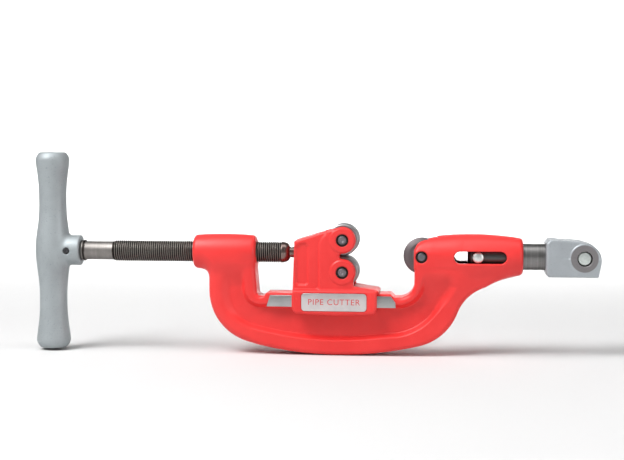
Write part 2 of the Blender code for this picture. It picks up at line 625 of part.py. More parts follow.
def float_shaft(parent):
    profile = [(SHAFT_X[0], SHAFT_R - 3.0), (SHAFT_X[0] + 3.2, SHAFT_R), (SHAFT_X[1] - 1.0, SHAFT_R),
               (SHAFT_X[1], SHAFT_R - 1.0)]
    shaft = turned("float_shaft", profile)
    guide_at = (GUIDE_PIN_X, 0.0, 0.0)
    cut(shaft, rod("guide_hole", GUIDE_PIN_R + GAP, (-OUT, OUT), centre=guide_at, chamfer=0.0))
    lock_at = (LOCK_PIN_X, 0.0, 0.0)
    cut(shaft, rod("lock_hole", LOCK_PIN_R + GAP, (-OUT, OUT), "Z", lock_at, chamfer=0.0))
    return finish(shaft, parent, BRIGHT, roughness=0.3)


def guide_pin(parent):
    r = GUIDE_PIN_R
    dome = [(17.6, r * 0.35), (17.3, r * 0.7), (16.4, r)]
    profile = [(-y, radius) for y, radius in dome] + [(y, radius) for y, radius in reversed(dome)]
    pin = turned("guide_pin", profile, "Y", (GUIDE_PIN_X, 0.0, 0.0), COARSE)
    return finish(pin, parent, BRIGHT, roughness=0.25)


def bracket_outline():
    """The knuckle: chamfered on the shaft's side, round above and square below, where it stops."""
    x0, x1 = BRACKET_X
    top, bottom = BRACKET_TOP_Z, BRACKET_BOTTOM_Z
    outline = [(x0, top - 3.2), (x0, bottom + 2.6), (x0 + 2.6, bottom)]
    outline += [(x1 - 3.4, bottom), (x1 - 2.5, bottom + 0.8)]
    outline += arc(NOSE_CENTRE, NOSE_R, -8.0, 78.0, 8)
    outline += [(-4.0, top - 1.6), (x0 + 3.2, top)]
    return outline


def swivel_bracket(parent):
    bracket = prism("swivel_bracket", bracket_outline(), (-BRACKET_HALF, BRACKET_HALF), chamfer=1.0)
    lower = box((BRACKET_X[0] - 5.0, BRACKET_X[1] + 5.0), (-40.0, -0.2))
    cut(bracket, prism("step", lower, (-OUT, -BRACKET_HALF + BRACKET_STEP)))
    spot_face = (-OUT, -BRACKET_HALF + SPOT_FACE_DEEP)
    cut(bracket, rod("spot_face", EYE_R, spot_face, sides=FINE, chamfer=0.0))
    cut(bracket, rod("eye", PIVOT_R + 0.6, (-OUT, OUT), chamfer=0.0))
    socket = [(-50.0, SHAFT_R + GAP), (SHAFT_X[1] + GAP, SHAFT_R + GAP)]
    cut(bracket, turned("socket", socket))
    cut(bracket, rod("lock_hole", LOCK_PIN_R + GAP, (-OUT, OUT), "Z", (LOCK_PIN_X, 0.0, 0.0), chamfer=0.0))
    screw_hole = (-OUT, 2.0 - PIVOT_R)
    cut(bracket, rod("screw_hole", SET_SCREW_R + GAP, screw_hole, "Z", (0.0, SET_SCREW_Y, 0.0), chamfer=0.0))
    return finish(bracket, parent, CAST_GREY, roughness=0.5, metallic=0.5)


def bracket_fittings(parent):
    """The pin that locks the shaft and the dog-point screw that keeps the pivot pin."""
    lock_ends = (BRACKET_BOTTOM_Z + 0.8, BRACKET_TOP_Z - 1.7)
    lock = rod("shaft_lock_pin", LOCK_PIN_R, lock_ends, "Z", (LOCK_PIN_X, 0.0, 0.0))
    finish(lock, parent, BRIGHT, roughness=0.4)
    low = BRACKET_BOTTOM_Z + 1.0
    shoulder = -PIVOT_R - 1.2
    place = (0.0, SET_SCREW_Y, 0.0)
    profile = [(low, SET_SCREW_R), (shoulder, SET_SCREW_R), (shoulder, DOG_R), (-PIN_GROOVE_R - 0.4, DOG_R)]
    screw = turned("pin_set_screw", profile, "Z", place, COARSE)
    cut(screw, rod("socket", 1.5, (low - 4.0, low + 2.9), "Z", place, chamfer=0.0, sides=6))
    finish(screw, parent, BLACK_OXIDE, roughness=0.45)


def pivot_pin(parent):
    """A stepped pin: journal in the bracket's eye, shoulder behind it, and the carriage's spigot."""
    front = -BRACKET_HALF + 1.2
    shoulder = BRACKET_HALF + GAP
    end = SPIGOT_END_Y
    groove = (SET_SCREW_Y - DOG_R - 0.5, SET_SCREW_Y + DOG_R + 0.5)
    collar = shoulder + COLLAR_BACK_WIDE
    ring_groove = (end - 9.0, end - 6.0)
    journal = [(front, PIVOT_R - 0.8), (front + 0.8, PIVOT_R), (groove[0], PIVOT_R)]
    journal += [(groove[0], PIN_GROOVE_R), (groove[1], PIN_GROOVE_R), (groove[1], PIVOT_R)]
    journal += [(shoulder, PIVOT_R)]
    spigot = [(shoulder, COLLAR_BACK_R), (collar, COLLAR_BACK_R), (collar, SPIGOT_R)]
    spigot += [(ring_groove[0] - 1.0, SPIGOT_R), (ring_groove[0], SPIGOT_R - 1.4)]
    spigot += [(ring_groove[1], SPIGOT_R - 1.4), (ring_groove[1] + 1.0, SPIGOT_R)]
    spigot += [(end - 1.5, SPIGOT_R), (end, SPIGOT_R - 1.5)]
    profile = journal + spigot
    return finish(turned("pivot_pin", profile, "Y", sides=FINE), parent, BRIGHT, roughness=0.3)


# ---------------------------------------------------------------- assembly


def main():
    for old in list(bpy.data.objects):
        bpy.data.objects.remove(old)

    pivot = body("carriage_pin_axis")
    swing = body("swing_axis", pivot)
    floating = body("frame_axis", swing, x=WHEEL_X)
    wheel = body("wheel_axis", floating)
    saddle = body("saddle_axis", floating, x=ROLLERS_X)
    screw = body("screw_axis", saddle, x=SCREW_X, z=SCREW_Z)

    pivot_pin(pivot)
    float_shaft(swing)
    guide_pin(swing)
    swivel_bracket(swing)
    bracket_fittings(swing)

    frame_casting(floating)
    reach = FORK_HALF
    finish(rod("wheel_pin", WHEEL_PIN_R, (-reach, reach)), floating, BRIGHT, roughness=0.45)
    retaining_ring("wheel_pin_ring_front", floating, WHEEL_PIN_R, FORK_HALF, -1.0)
    retaining_ring("wheel_pin_ring_back", floating, WHEEL_PIN_R, FORK_HALF, 1.0)
    cutter_wheel(wheel)

    slide_housing(saddle)
    saddle_fittings(saddle)
    for name, z in (("upper_roller", ROLLER_PITCH / 2), ("lower_roller", -ROLLER_PITCH / 2)):
        roller(name, body(name + "_axis", saddle, z=z))

    feed_screw(screw)
    t_handle(screw)
    screw_fittings(screw)


main()
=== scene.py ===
"""Looks of the full-floating pipe cutter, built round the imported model.

Castings are made from distance fields, so that their fillets and rounded edges blend as on real
castings.  Turned pieces are lathed, the feed screw gets its thread, and every surface gets a
procedural material.  Lengths in the modelling part are in millimetres from the origin of the body
that a piece belongs to; they become metres in the row frame when a mesh is made.
"""

import json
from math import atan2, cos, hypot, pi, radians, sin, sqrt

import bmesh
import bpy
import numpy as np
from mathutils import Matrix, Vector


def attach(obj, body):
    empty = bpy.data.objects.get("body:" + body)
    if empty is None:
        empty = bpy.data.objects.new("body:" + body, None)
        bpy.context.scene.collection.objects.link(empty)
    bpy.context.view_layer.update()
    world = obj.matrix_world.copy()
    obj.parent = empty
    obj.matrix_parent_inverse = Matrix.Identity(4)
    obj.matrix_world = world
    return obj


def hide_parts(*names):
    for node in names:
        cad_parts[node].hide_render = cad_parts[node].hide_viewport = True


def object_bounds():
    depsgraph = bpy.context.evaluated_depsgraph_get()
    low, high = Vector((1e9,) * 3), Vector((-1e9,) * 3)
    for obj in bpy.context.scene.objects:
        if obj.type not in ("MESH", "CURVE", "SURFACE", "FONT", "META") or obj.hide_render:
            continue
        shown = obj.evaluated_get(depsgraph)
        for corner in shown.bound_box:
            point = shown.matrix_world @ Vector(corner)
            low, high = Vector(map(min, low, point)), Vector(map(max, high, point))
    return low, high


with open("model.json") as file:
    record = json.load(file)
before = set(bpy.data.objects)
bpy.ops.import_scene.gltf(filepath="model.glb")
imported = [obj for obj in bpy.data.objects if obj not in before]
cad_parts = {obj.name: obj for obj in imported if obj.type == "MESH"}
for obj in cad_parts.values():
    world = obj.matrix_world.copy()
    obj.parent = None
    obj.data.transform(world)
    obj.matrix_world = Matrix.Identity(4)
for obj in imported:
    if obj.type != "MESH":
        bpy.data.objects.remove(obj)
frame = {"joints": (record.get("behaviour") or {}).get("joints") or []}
CAD_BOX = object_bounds()

MM = 0.001
JOINTS = {joint["name"]: joint for joint in frame["joints"]}
PIVOT = Vector(JOINTS["bracket_swing"]["pos_m"])
WHEEL = Vector(JOINTS["wheel_spin"]["pos_m"])
UPPER = Vector(JOINTS["upper_roller_spin"]["pos_m"])
LOWER = Vector(JOINTS["lower_roller_spin"]["pos_m"])
ROLLERS = (UPPER + LOWER) / 2
SCREW = Vector(JOINTS["screw_turn"]["pos_m"])

# ---------------------------------------------------------------- sizes in millimetres

STEP = 0.8      # spacing of the samples that a large casting is made from
FINE_STEP = 0.6
SIDES = 96                             # of a turned piece
ROUND_STEPS = 3                        # along a small rounded edge
GAP = 0.3                              # running fit
OPEN = 60.0                            # far outside a piece, where a cut runs out
SLOT_EDGE = 1.2                        # roundings of cast slots, bored holes and small seats
BORE_EDGE = 0.8
HOLE_EDGE = 0.6
SEAT_EDGE = 0.5
SOCKET_R = 1.45                        # a screw's hexagon socket, a little wider at its mouth
SOCKET_MOUTH_R = 1.5

# Frame casting, from the cutter wheel's axis
RIM_HALF = 14.2
WEB_HALF = 8.0
PAD_HALF = 15.0
FORK_HALF = 18.0
CAST_EDGE = 4.0
ARM_OUT_X = -193.2
ARM_IN_X = -149.0
ARM_SLANT = 2.5
ARM_CORNER_R = 4.0
CLAW_X = -6.3
BOTTOM = (-76.0, -90.0)
BOTTOM_R = 318.0
CORNER_L = (-145.0, 48.2)
CORNER_R = (-13.7, 49.4)
ARMPIT_R = 38.0
ARMPIT_START = -20.2
INSIDE_BARREL = ((78.6, -14.0), (78.6, 0.0), (20.0, 6.0))   # corners that the barrel hides
CLAW_TOP_Z = 6.0
BARREL_SLOPE = 17.0
RAIL_Z = -34.0
RAIL_X = (-140.0, -27.5)
RAIL_SLANT = (2.2, 3.2)        # how far the rail's ends lean out, left and right
RAIL_EDGE = 1.0
RAIL_FACE_DROP = 1.9           # from the rail's top to its ground side faces
RAIL_FACE_ROOT = 12.6          # where those faces' slabs start, inside the casting
FLOOR_Z = -37.2
THROAT_R = 14.3
LUG_CENTRE = (7.0, 3.0)
LUG_R = 13.7
LUG_ROUND = 16.0
LUG_EDGE = 3.0
LUG_FILLET = 1.5
LUG_FOOT_Z = -11.0
LUG_TOP = ((38.0, 30.0), (24.0, 26.0), (13.0, 18.8))   # above the barrel, which trims it
LUG_SINK = 0.8                 # how far the lug's top lies under the barrel's curve
WELL_GAP = 0.8                 # round the wheel
WELL_X = -30.0                 # its open left side, in the throat
WELL_TOP = 40.0
WELL_LEAN = 9.5                # how far its right wall leans in up there
INNER_RIM = 12.2               # the rims' widths, to the middle of the hollow's walls
OUTER_RIM = 15.0
WEB_TURN = (-30.0, -20.0)      # centre of the web's right corner
WEB_TURN_R = 52.0
WEB_TURN_FROM = -82.0          # where the web's bottom ends, in degrees round the bottom's centre
WEB_TURN_ARC = (-80.0, -36.0)
WEB_THROAT = 8.0               # how far the web stays outside the throat's curve
WEB_CLAW = ((21.0, -37.5), (28.0, -26.5), (26.0, -12.0), (3.0, -12.0))   # the web under the claw
ARM_TOP_Z = -3.0               # inside the boss
WEB_TOP_Z = -8.0

# The hollow's walls reach this far to each side of their middle, and further up the arm and under the claw
WALL_SLOPE = 2.4
ARM_SLOPE = 3.6
CLAW_SLOPE = 2.6
ARM_VALLEY = 2.0               # how much shallower the hollow is up the left arm
ARM_EDGE = 2.5                 # how much rounder the arm's edges are

# Where shapes fade in or out: a range in X, or in -X on the arm and the boss, and a range in Z
ARM_FADE = ((143.0, 160.0), (-70.0, -44.0))
ARM_SLOPE_FADE = (160.0, 176.0)
ARM_END_FADE = ((140.0, 150.0), (-30.0, -11.0))
CLAW_FADE = ((0.0, 14.0), (-56.0, -36.0))
FORK_HOLLOW_FADE = ((-24.0, -14.0), (-38.0, -12.0))
FORK_FADE = ((-12.0, -4.0), (-48.0, -13.0))
FORK_END_FADE = (34.0, 62.0)
RAIL_FADE = 8.0
RAIL_FADE_Z = (-56.0, -48.0)
BOSS_FADE = (152.0, 172.0)
ARM_EDGE_FADE = (146.0, 160.0)
BARREL_FADE = (26.0, 50.0)
LUG_SINK_FADE = (4.0, 20.0)

# Frame casting's boss, barrel and bores
SCREW_Z = (SCREW.z - WHEEL.z) / MM
BOSS_X = (-208.2, -150.4)
BOSS_R = 16.4
BOSS_CROWN_R = 320.0
BOSS_FILLET = (4.0, 6.0)       # at least, and how much more on the left
NUT_END_X = -130.0
BARREL_START_X = 4.0
BARREL_END_X = 90.6
BARREL_EDGE = 3.5
BARREL_FILLET = (2.0, 7.0)     # at least, and how much more on the right
BARREL_R = 20.2
BARREL_CROWN_X = 46.0
BARREL_CROWN_R = 270.0
BORE_X = 23.5
SLOT_X = (29.1, 75.9)
SLOT_R = 5.5

# Wheel, rollers and axles
WHEEL_R = 16.7
WHEEL_HUB_R = 8.0
WHEEL_HUB_HALF = 6.8
WHEEL_DISC_HALF = 2.0
WHEEL_BEVEL = 5.0
WHEEL_EDGE_HALF = 0.12
WHEEL_PIN_R = 3.6
ROLLER_R = 14.2
ROLLER_HALF = 12.0
ROLLER_GROOVE = 0.25
ROLLER_Z = (UPPER.z - LOWER.z) / 2 / MM
ROLLER_PIN_R = 3.9
RING_WALL = 1.2
RING_THICK = 1.2

# Saddle, from the midpoint between the roller axes
CHEEK_HALF = 19.0
CHEEK_EDGE = 2.2
CHEEK_FOOT = 3.0               # how far the cheek reaches down into the skirt
BLOCK_HALF = 17.4
CHEEK_GAP_HALF = 12.4
BOSS_FACE_Y = 20.0
BOSS_FACE_R = 10.9
BOSS_FACE_EDGE = 0.9
SADDLE_FILLET = 1.4
BLOCK_FILLET = 2.6
HOLLOW = [(-41.5, -24.0), (-41.9, 7.5), (-38.5, 10.5), (-33.5, 11.0), (-31.4, 8.5),
          (-31.4, -24.0), (-33.0, -25.6), (-39.6, -25.6)]
HOLLOW_DEEP = 1.7
HOLLOW_FILLET = 2.4
ROLLER_BOSS_R = 12.0
SADDLE_X = (-45.0, 33.0)
SADDLE_TOP_Z = 13.2
POCKET_X = -17.0
POCKET_EDGE = 1.6
POCKET_Z = (-29.4, -26.8)      # the pocket's floor behind the toe and over it
SKIRT_HALF = 22.0
SKIRT_X = (-44.5, 31.3)
SKIRT_Z = (-53.0, -30.5)
SKIRT_BOW_R = 520.0
SKIRT_EDGE = 2.4
HOOK_Z = -46.6
HOOK_IN = 10.0
TOE_X = 10.5
TOE_Z = (-27.0, -30.2, -31.5)  # the toe's top, falling to the right
END_SLANT = 1.4                # how far the saddle's left end leans in
PLATE_X = (-36.4, 22.2)
PLATE_Z = (-49.1, -33.2)
PLATE_CORNER_R = 3.0
PLATE_THICK = 0.8
PRINT_SIZE = 7.4
PRINT_THICK = 0.04
KEEPER_THICK = 5.0
KEEPER_IN = 5.0                # how far its ends stay inside the skirt's
KEEPER_CORNER_R = 2.0
KEEPER_EDGE = 0.7
KEEPER_SCREW_X = (SKIRT_X[0] + 14.0, SKIRT_X[1] - 14.0)
KEEPER_SCREW_Y = 18.7
KEEPER_SCREW_R = 1.9
KEEPER_SCREW_REACH = 6.0       # how far the screws reach up past the hook
KEEPER_HEAD_R = 3.2
KEEPER_HEAD_HIGH = 2.6
KEEPER_SOCKET = 1.6
RETAINING_PIN_R = 1.5
RETAINING_PIN_Z = (-8.5, 12.0)

# Feed screw and handle, from the screw's reference face just inside the saddle's end wall
SCREW_X = (SCREW.x - ROLLERS.x) / MM
THREAD_R = 9.5
THREAD_DEPTH = 1.2
THREAD_PITCH = 1.95
SHANK_R = 8.3
NECK_R = 4.7
THREAD_X = (-168.1, -12.2)
DOME_END_X = -4.9
NOSE_X = 12.5
NOSE_GROOVE_X = (6.0, 9.4)
NOSE_GROOVE_R = 3.1
COLLAR_X = (-196.9, -195.8)
COLLAR_R = 9.2
HANDLE_X = -224.9
SHANK_X = HANDLE_X + 2.0       # the shank's end inside the handle
HANDLE_HALF = 90.2
WAIST_R = 12.6
SWELL = 3.5
GRIP_WAVE = 92.0
GRIP_SHARP = 1.4               # above 1, the swells are narrower than the waists
GRIP_SCALE = 0.97              # keeps the field's slope below 1 on the swells
GRIP_EDGE = 0.6
GRIP_END = 82.0
GRIP_END_R = 8.0
CORE_R = 8.5
CORE_DEEP = 45.0
CORE_EDGE = 3.0
HUB_R = 13.8
HUB_FACE_X = -198.2
HUB_EDGE = 1.0
HUB_FILLET = 3.0
DRIVE_PIN_X = -209.6
DRIVE_PIN_R = 2.8
STRIP_TURNS = 2.2              # of the drive pin's rolled strip
STRIP_THICK = 0.42
STRIP_START_R = 0.75

# Shaft and bracket, from the pivot axis
SHAFT_R = 11.7
SHAFT_X = (-103.2, -15.1)
SHAFT_TAPER = (3.2, 2.6)       # along and across
GUIDE_PIN_X = -93.9
GUIDE_PIN_R = 4.85
GUIDE_PIN_HALF = 17.6
GUIDE_PIN_DOME = 1.6
BRACKET_X = (-34.0, 15.1)
BRACKET_HALF = 17.0
BRACKET_STEP = 0.6
BRACKET_EDGE = 1.3
BRACKET_CHAMFER = (3.2, 2.6)   # upper and lower
STEP_FADE = ((-25.0, -17.0), (-0.7, 0.3))
LEFT_EDGE = 1.5                # how much rounder the left edge is
LEFT_EDGE_FADE = (27.0, 33.0)
EYE_PAD_R = 12.6
EYE_PAD_FILLET = 1.8
BRACKET_TOP_Z = 16.6
BRACKET_BOTTOM_Z = -16.8
NOSE_CENTRE = (-0.3, -2.1)
NOSE_R = 15.4
LOCK_PIN_X = -23.6
LOCK_PIN_R = 2.5
LOCK_PIN_Z = (-16.0, 14.9)
SET_SCREW_Y = 5.0
SET_SCREW_R = 3.0
SET_SCREW_Z = (-15.8, -7.2, -5.0)   # its foot, the shoulder and the dog's tip
SET_SCREW_HOLE_Z = -4.0
SET_SCREW_SOCKET = 2.9
DOG_R = 1.6
PIVOT_R = 6.0
EYE_R = 12.2
DOG_GROOVE_Y = (2.9, 7.1)      # the journal's groove for the set screw's dog
DOG_GROOVE_R = 4.6
PIN_COLLAR_R = 10.5
PIN_COLLAR_WIDE = 4.0
SPIGOT_R = 8.0
SPIGOT_END_Y = 55.0
SPIGOT_GROOVE = 1.4

# Camera and floor, in metres and degrees
CAMERA_PLACE = (-0.1109, -1.4005, 0.1162)
CAMERA_DOWN = 3.813
CAMERA_ROLL = -0.15
CAMERA_TURN = 5.45
CAMERA_LENS = 89.4
FLOOR_DROP = 0.0004
SWEEP_R = 1.2
SWEEP_Y = (-4.0, 2.0)          # the flat floor's ends
SWEEP_HALF = 6.0
SWEEP_TOP = 5.0

# ---------------------------------------------------------------- outlines


def arc(centre, radius, start, end, steps=12):
    """Points on a circle from one angle to another, in degrees."""
    angles = [radians(start + (end - start) * i / steps) for i in range(steps + 1)]
    return [(centre[0] + radius * cos(a), centre[1] + radius * sin(a)) for a in angles]


def offset(outline, distance):
    """Move each corner of a closed outline outwards, or inwards where distance is negative."""
    area = sum(a[0] * b[1] - b[0] * a[1] for a, b in zip(outline, outline[1:] + outline[:1]))
    side = 1.0 if area > 0 else -1.0
    moved = []
    for i, (x, z) in enumerate(outline):
        before = outline[i - 1]
        after = outline[(i + 1) % len(outline)]
        a = atan2(z - before[1], x - before[0])
        b = atan2(after[1] - z, after[0] - x)
        half = ((b - a + pi) % (2 * pi) - pi) / 2
        normal = a + half - side * pi / 2
        reach = distance / max(cos(half), 0.5)
        moved.append((x + reach * cos(normal), z + reach * sin(normal)))
    return moved


def eased(points, radius, closed=False):
    """Round the corners of a line of points by up to a radius."""
    made = []
    for i, point in enumerate(points):
        if not closed and i in (0, len(points) - 1):
            made.append(point)
            continue
        ends = []
        for other in (points[i - 1], points[(i + 1) % len(points)]):
            length = hypot(other[0] - point[0], other[1] - point[1])
            share = min(radius, length / 2.2) / length
            ends.append([p + (o - p) * share for p, o in zip(point, other)])
        for k in range(ROUND_STEPS + 1):
            t = k / ROUND_STEPS
            weights = ((1 - t) ** 2, 2 * t * (1 - t), t ** 2)
            corner = zip(ends[0], point, ends[1])
            made.append(tuple(sum(w * c for w, c in zip(weights, line)) for line in corner))
    return made


# ---------------------------------------------------------------- distance fields


def outline_distance(points, x, z):
    """Signed distance from a closed outline in X and Z, negative inside."""
    nearest = np.inf
    inside = np.zeros(np.broadcast(x, z).shape, bool)
    for (ax, az), (bx, bz) in zip(points, points[1:] + points[:1]):
        ex, ez = bx - ax, bz - az
        px, pz = x - ax, z - az
        along = np.clip((px * ex + pz * ez) / (ex * ex + ez * ez), 0.0, 1.0)
        nearest = np.minimum(nearest, (px - ex * along) ** 2 + (pz - ez * along) ** 2)
        if ez:
            inside ^= ((az > z) != (bz > z)) & (px < ex * pz / ez)
    return np.where(inside, -1.0, 1.0) * np.sqrt(nearest)


def blend_union(a, b, fillet):
    """Joins two fields with a fillet."""
    share = np.clip(0.5 + 0.5 * (b - a) / fillet, 0.0, 1.0)
    return b + (a - b) * share - fillet * share * (1.0 - share)


def blend_cut(a, b, fillet):
    """Cuts field b from field a and rounds the edge of the cut."""
    return -blend_union(-a, b, fillet)


def rounded(a, b, edge):
    """The space inside both fields, with a rounded edge where they meet."""
    a = a + edge
    b = b + edge
    corner = np.hypot(np.maximum(a, 0.0), np.maximum(b, 0.0))
    return np.minimum(np.maximum(a, b), 0.0) + corner - edge


def ease(value, low, high):
    """Goes smoothly from 0 at low to 1 at high."""
    t = np.clip((value - low) / (high - low), 0.0, 1.0)
    return t * t * (3.0 - 2.0 * t)


def patch(x, z, across, upwards):
    """Goes smoothly from 0 to 1 through a range in X, and through one in Z."""
    return ease(x, *across) * ease(z, *upwards)


def between(value, ends):
    """Signed distance outside a range, negative within it."""
    return np.abs(value - (ends[0] + ends[1]) / 2) - (ends[1] - ends[0]) / 2


def crossing_points(field, axes, step, active):
    """The mean of the places where the field changes sign on each active cell's edges."""
    corners = np.array(list(np.ndindex(2, 2, 2)))
    values = np.stack([field[tuple((active + c).T)] for c in corners], axis=1)
    total = np.zeros((len(active), 3))
    crossings = np.zeros(len(active))
    for a in range(8):
        for b in range(a + 1, 8):
            if abs(corners[a] - corners[b]).sum() != 1:
                continue
            va, vb = values[:, a], values[:, b]
            cross = (va < 0.0) != (vb < 0.0)
            share = np.where(cross, va / np.where(cross, va - vb, 1.0), 0.0)[:, None]
            total += np.where(cross[:, None], corners[a] + (corners[b] - corners[a]) * share, 0.0)
            crossings += cross
    start = np.array([a[0] for a in axes])
    return start + step * (active + total / crossings[:, None])


def net_faces(solid, number):
    """A quad for each grid edge that crosses the surface, between the four cells round it."""
    quads = []
    for axis in range(3):
        u, v = [a for a in range(3) if a != axis]
        ahead = np.zeros(3, int)
        ahead[axis] = 1
        size = [n - 1 for n in solid.shape]
        size[u] -= 1
        size[v] -= 1
        first = np.array([1, 1, 1])
        first[axis] = 0
        here = solid[tuple(slice(f, f + n) for f, n in zip(first, size))]
        there = solid[tuple(slice(f + a, f + a + n) for f, a, n in zip(first, ahead, size))]
        edges = np.argwhere(here != there) + first
        leaving = here[here != there]
        loop = []
        for du, dv in ((1, 1), (0, 1), (0, 0), (1, 0)):
            cell = edges.copy()
            cell[:, u] -= du
            cell[:, v] -= dv
            loop.append(number[tuple(cell.T)])
        loop = np.stack(loop, axis=1)
        flip = leaving if axis == 1 else ~leaving
        loop[flip] = loop[flip][:, ::-1]
        quads.append(loop)
    return np.concatenate(quads)


def polish(points, distance, step, rounds=3):
    """Moves points onto the field's zero level along its slope."""
    nudge = 0.05 * step
    for _ in range(rounds):
        here = distance(*points.T)
        slope = np.zeros_like(points)
        for axis in range(3):
            moved = points.copy()
            moved[:, axis] += nudge
            slope[:, axis] = (distance(*moved.T) - here) / nudge
        steepness = np.maximum((slope ** 2).sum(1), 0.25)
        shift = np.clip(-here / steepness, -0.5 * step, 0.5 * step)
        points += shift[:, None] * slope
    return points


def surface_net(distance, low, high, step):
    """Points and quads of a field's zero level between two corners."""
    axes = [np.arange(a - 2 * step, b + 3 * step, step) for a, b in zip(low, high)]
    grid = np.meshgrid(*axes, indexing="ij", sparse=True)
    field = np.broadcast_to(distance(*grid), [len(a) for a in axes])
    solid = field < 0.0
    cells = [n - 1 for n in field.shape]
    count = np.zeros(cells, np.int8)
    for i, j, k in np.ndindex(2, 2, 2):
        count += solid[i:i + cells[0], j:j + cells[1], k:k + cells[2]]
    active = np.argwhere((count > 0) & (count < 8))
    number = np.full(cells, -1, np.int64)
    number[tuple(active.T)] = np.arange(len(active))
    points = polish(crossing_points(field, axes, step, active), distance, step)
    return points, net_faces(solid, number)


# ---------------------------------------------------------------- meshes


def new_piece(name, points, faces, origin):
    """An object from points in millimetres round an origin in the row frame."""
    placed = np.asarray(points, float) * MM + np.array(origin)
    mesh = bpy.data.meshes.new(name)
    mesh.from_pydata(placed.tolist(), [], [list(face) for face in faces])
    mesh.update()
    mesh.shade_smooth()
    piece = bpy.data.objects.new(name, mesh)
    bpy.context.scene.collection.objects.link(piece)
    return piece


def casting(name, distance, low, high, origin, step):
    points, faces = surface_net(distance, low, high, step)
    return new_piece(name, points, faces.tolist(), origin)


def finish(piece, body, slot, shader, *nodes):
    """Give a piece its material and its body, and let it stand for its nodes."""
    piece.data.materials.append(shader)
    if nodes:
        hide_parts(*nodes)
    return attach(piece, body)


def in_row_order(axis, along, u, v):
    return {"X": (along, u, v), "Y": (u, along, v), "Z": (u, v, along)}[axis]


def turned(name, profile, axis, origin, at=(0.0, 0.0, 0.0), ring=False, ease_by=0.25):
    """A solid turned about an axis from (along, radius) points, with its corners eased."""
    profile = eased(profile, ease_by, closed=ring)
    points = []
    rows = []
    for along, radius in profile:
        if radius < 1e-6:
            rows.append([len(points)])
            points.append(in_row_order(axis, along, 0.0, 0.0))
            continue
        rows.append(list(range(len(points), len(points) + SIDES)))
        for i in range(SIDES):
            angle = 2 * pi * i / SIDES
            points.append(in_row_order(axis, along, radius * cos(angle), radius * sin(angle)))
    pairs = list(zip(rows, rows[1:]))
    if ring:
        pairs.append((rows[-1], rows[0]))
    faces = []
    for low, high in pairs:
        for i in range(SIDES):
            j = (i + 1) % SIDES
            quad = [low[i % len(low)], low[j % len(low)], high[j % len(high)], high[i % len(high)]]
            faces.append(list(dict.fromkeys(quad)))
    piece = new_piece(name, np.array(points) + np.array(at), faces, origin)
    return outward(piece)


def outward(piece):
    """Turn all faces outwards and keep the corners crisp."""
    bm = bmesh.new()
    bm.from_mesh(piece.data)
    bmesh.ops.recalc_face_normals(bm, faces=bm.faces)
    bm.to_mesh(piece.data)
    bm.free()
    piece.data.shade_smooth()
    piece.data.set_sharp_from_angle(angle=radians(40))
    return piece


def slab(name, outline, y, edge, origin):
    """An outline in X and Z carried along Y, with rounded edges."""
    levels = []
    for end, side in ((y[0], 1.0), (y[1], -1.0)):
        quarter = []
        for i in range(ROUND_STEPS + 1):
            angle = pi / 2 * i / ROUND_STEPS
            quarter.append((end + side * edge * (1 - sin(angle)), edge * (1 - cos(angle))))
        levels += quarter[::-1] if side > 0 else quarter
    points = []
    for depth, inset in levels:
        points += [(px, depth, pz) for px, pz in offset(outline, -inset)]
    count = len(outline)
    faces = [list(range(count)), list(range(len(points) - count, len(points)))]
    for row in range(len(levels) - 1):
        for i in range(count):
            a = row * count + i
            b = row * count + (i + 1) % count
            faces.append([a, b, b + count, a + count])
    return outward(new_piece(name, points, faces, origin))


# ---------------------------------------------------------------- profiles of turned pieces


def rod(ends, radius):
    """The profile of a plain rod between two places on its axis."""
    return [(ends[0], 0.0), (ends[0], radius), (ends[1], radius), (ends[1], 0.0)]


def stepped(ends, radius, step_r):
    """A groove or a collar between two places on an axis."""
    return [(ends[0], radius), (ends[0], step_r), (ends[1], step_r), (ends[1], radius)]


def both_ways(right):
    """A whole profile from its right half, which starts at the right end."""
    return [(-along, out) for along, out in right] + [(along, out) for along, out in reversed(right)]


def pin_profile(radius, reach, dimple=0.0):
    """An axle with chamfered ends, and a shallow centre hole in each if a dimple is given."""
    end = [(reach, 0.0), (reach, radius - 0.6), (reach - 0.5, radius)]
    if dimple:
        end = [(reach - 0.7 * dimple, 0.0), (reach, dimple)] + end[1:]
    return both_ways(end)


# ---------------------------------------------------------------- materials


def new_shader(name, metallic, specular=0.5):
    """A principled material; metals are darker towards their edges."""
    made = bpy.data.materials.new(name)
    made.use_nodes = True
    surface = made.node_tree.nodes["Principled BSDF"]
    surface.inputs["Metallic"].default_value = metallic
    surface.inputs["Specular IOR Level"].default_value = specular
    if metallic:
        surface.inputs["Specular Tint"].default_value = (0.35, 0.35, 0.35, 1.0)
    return made, surface


def add(made, kind, **values):
    """A node with its inputs given by name, each a value or another node's output."""
    node = made.node_tree.nodes.new(kind)
    for key, value in values.items():
        if hasattr(node, key):
            setattr(node, key, value)
            continue
        socket = node.inputs[key.replace("_", " ")]
        if isinstance(value, bpy.types.NodeSocket):
            made.node_tree.links.new(value, socket)
        else:
            socket.default_value = value
    return node


def link(made, output, socket):
    made.node_tree.links.new(output, socket)


def dress(made, surface, colour, roughness):
    link(made, colour, surface.inputs["Base Color"])
    link(made, roughness, surface.inputs["Roughness"])


def arithmetic(made, operation, *values):
    node = add(made, "ShaderNodeMath", operation=operation)
    for value, socket in zip(values, node.inputs):
        link(made, value, socket)
    return node.outputs[0]


def part_of(made, place, axis):
    return add(made, "ShaderNodeSeparateXYZ", Vector=place).outputs[axis]


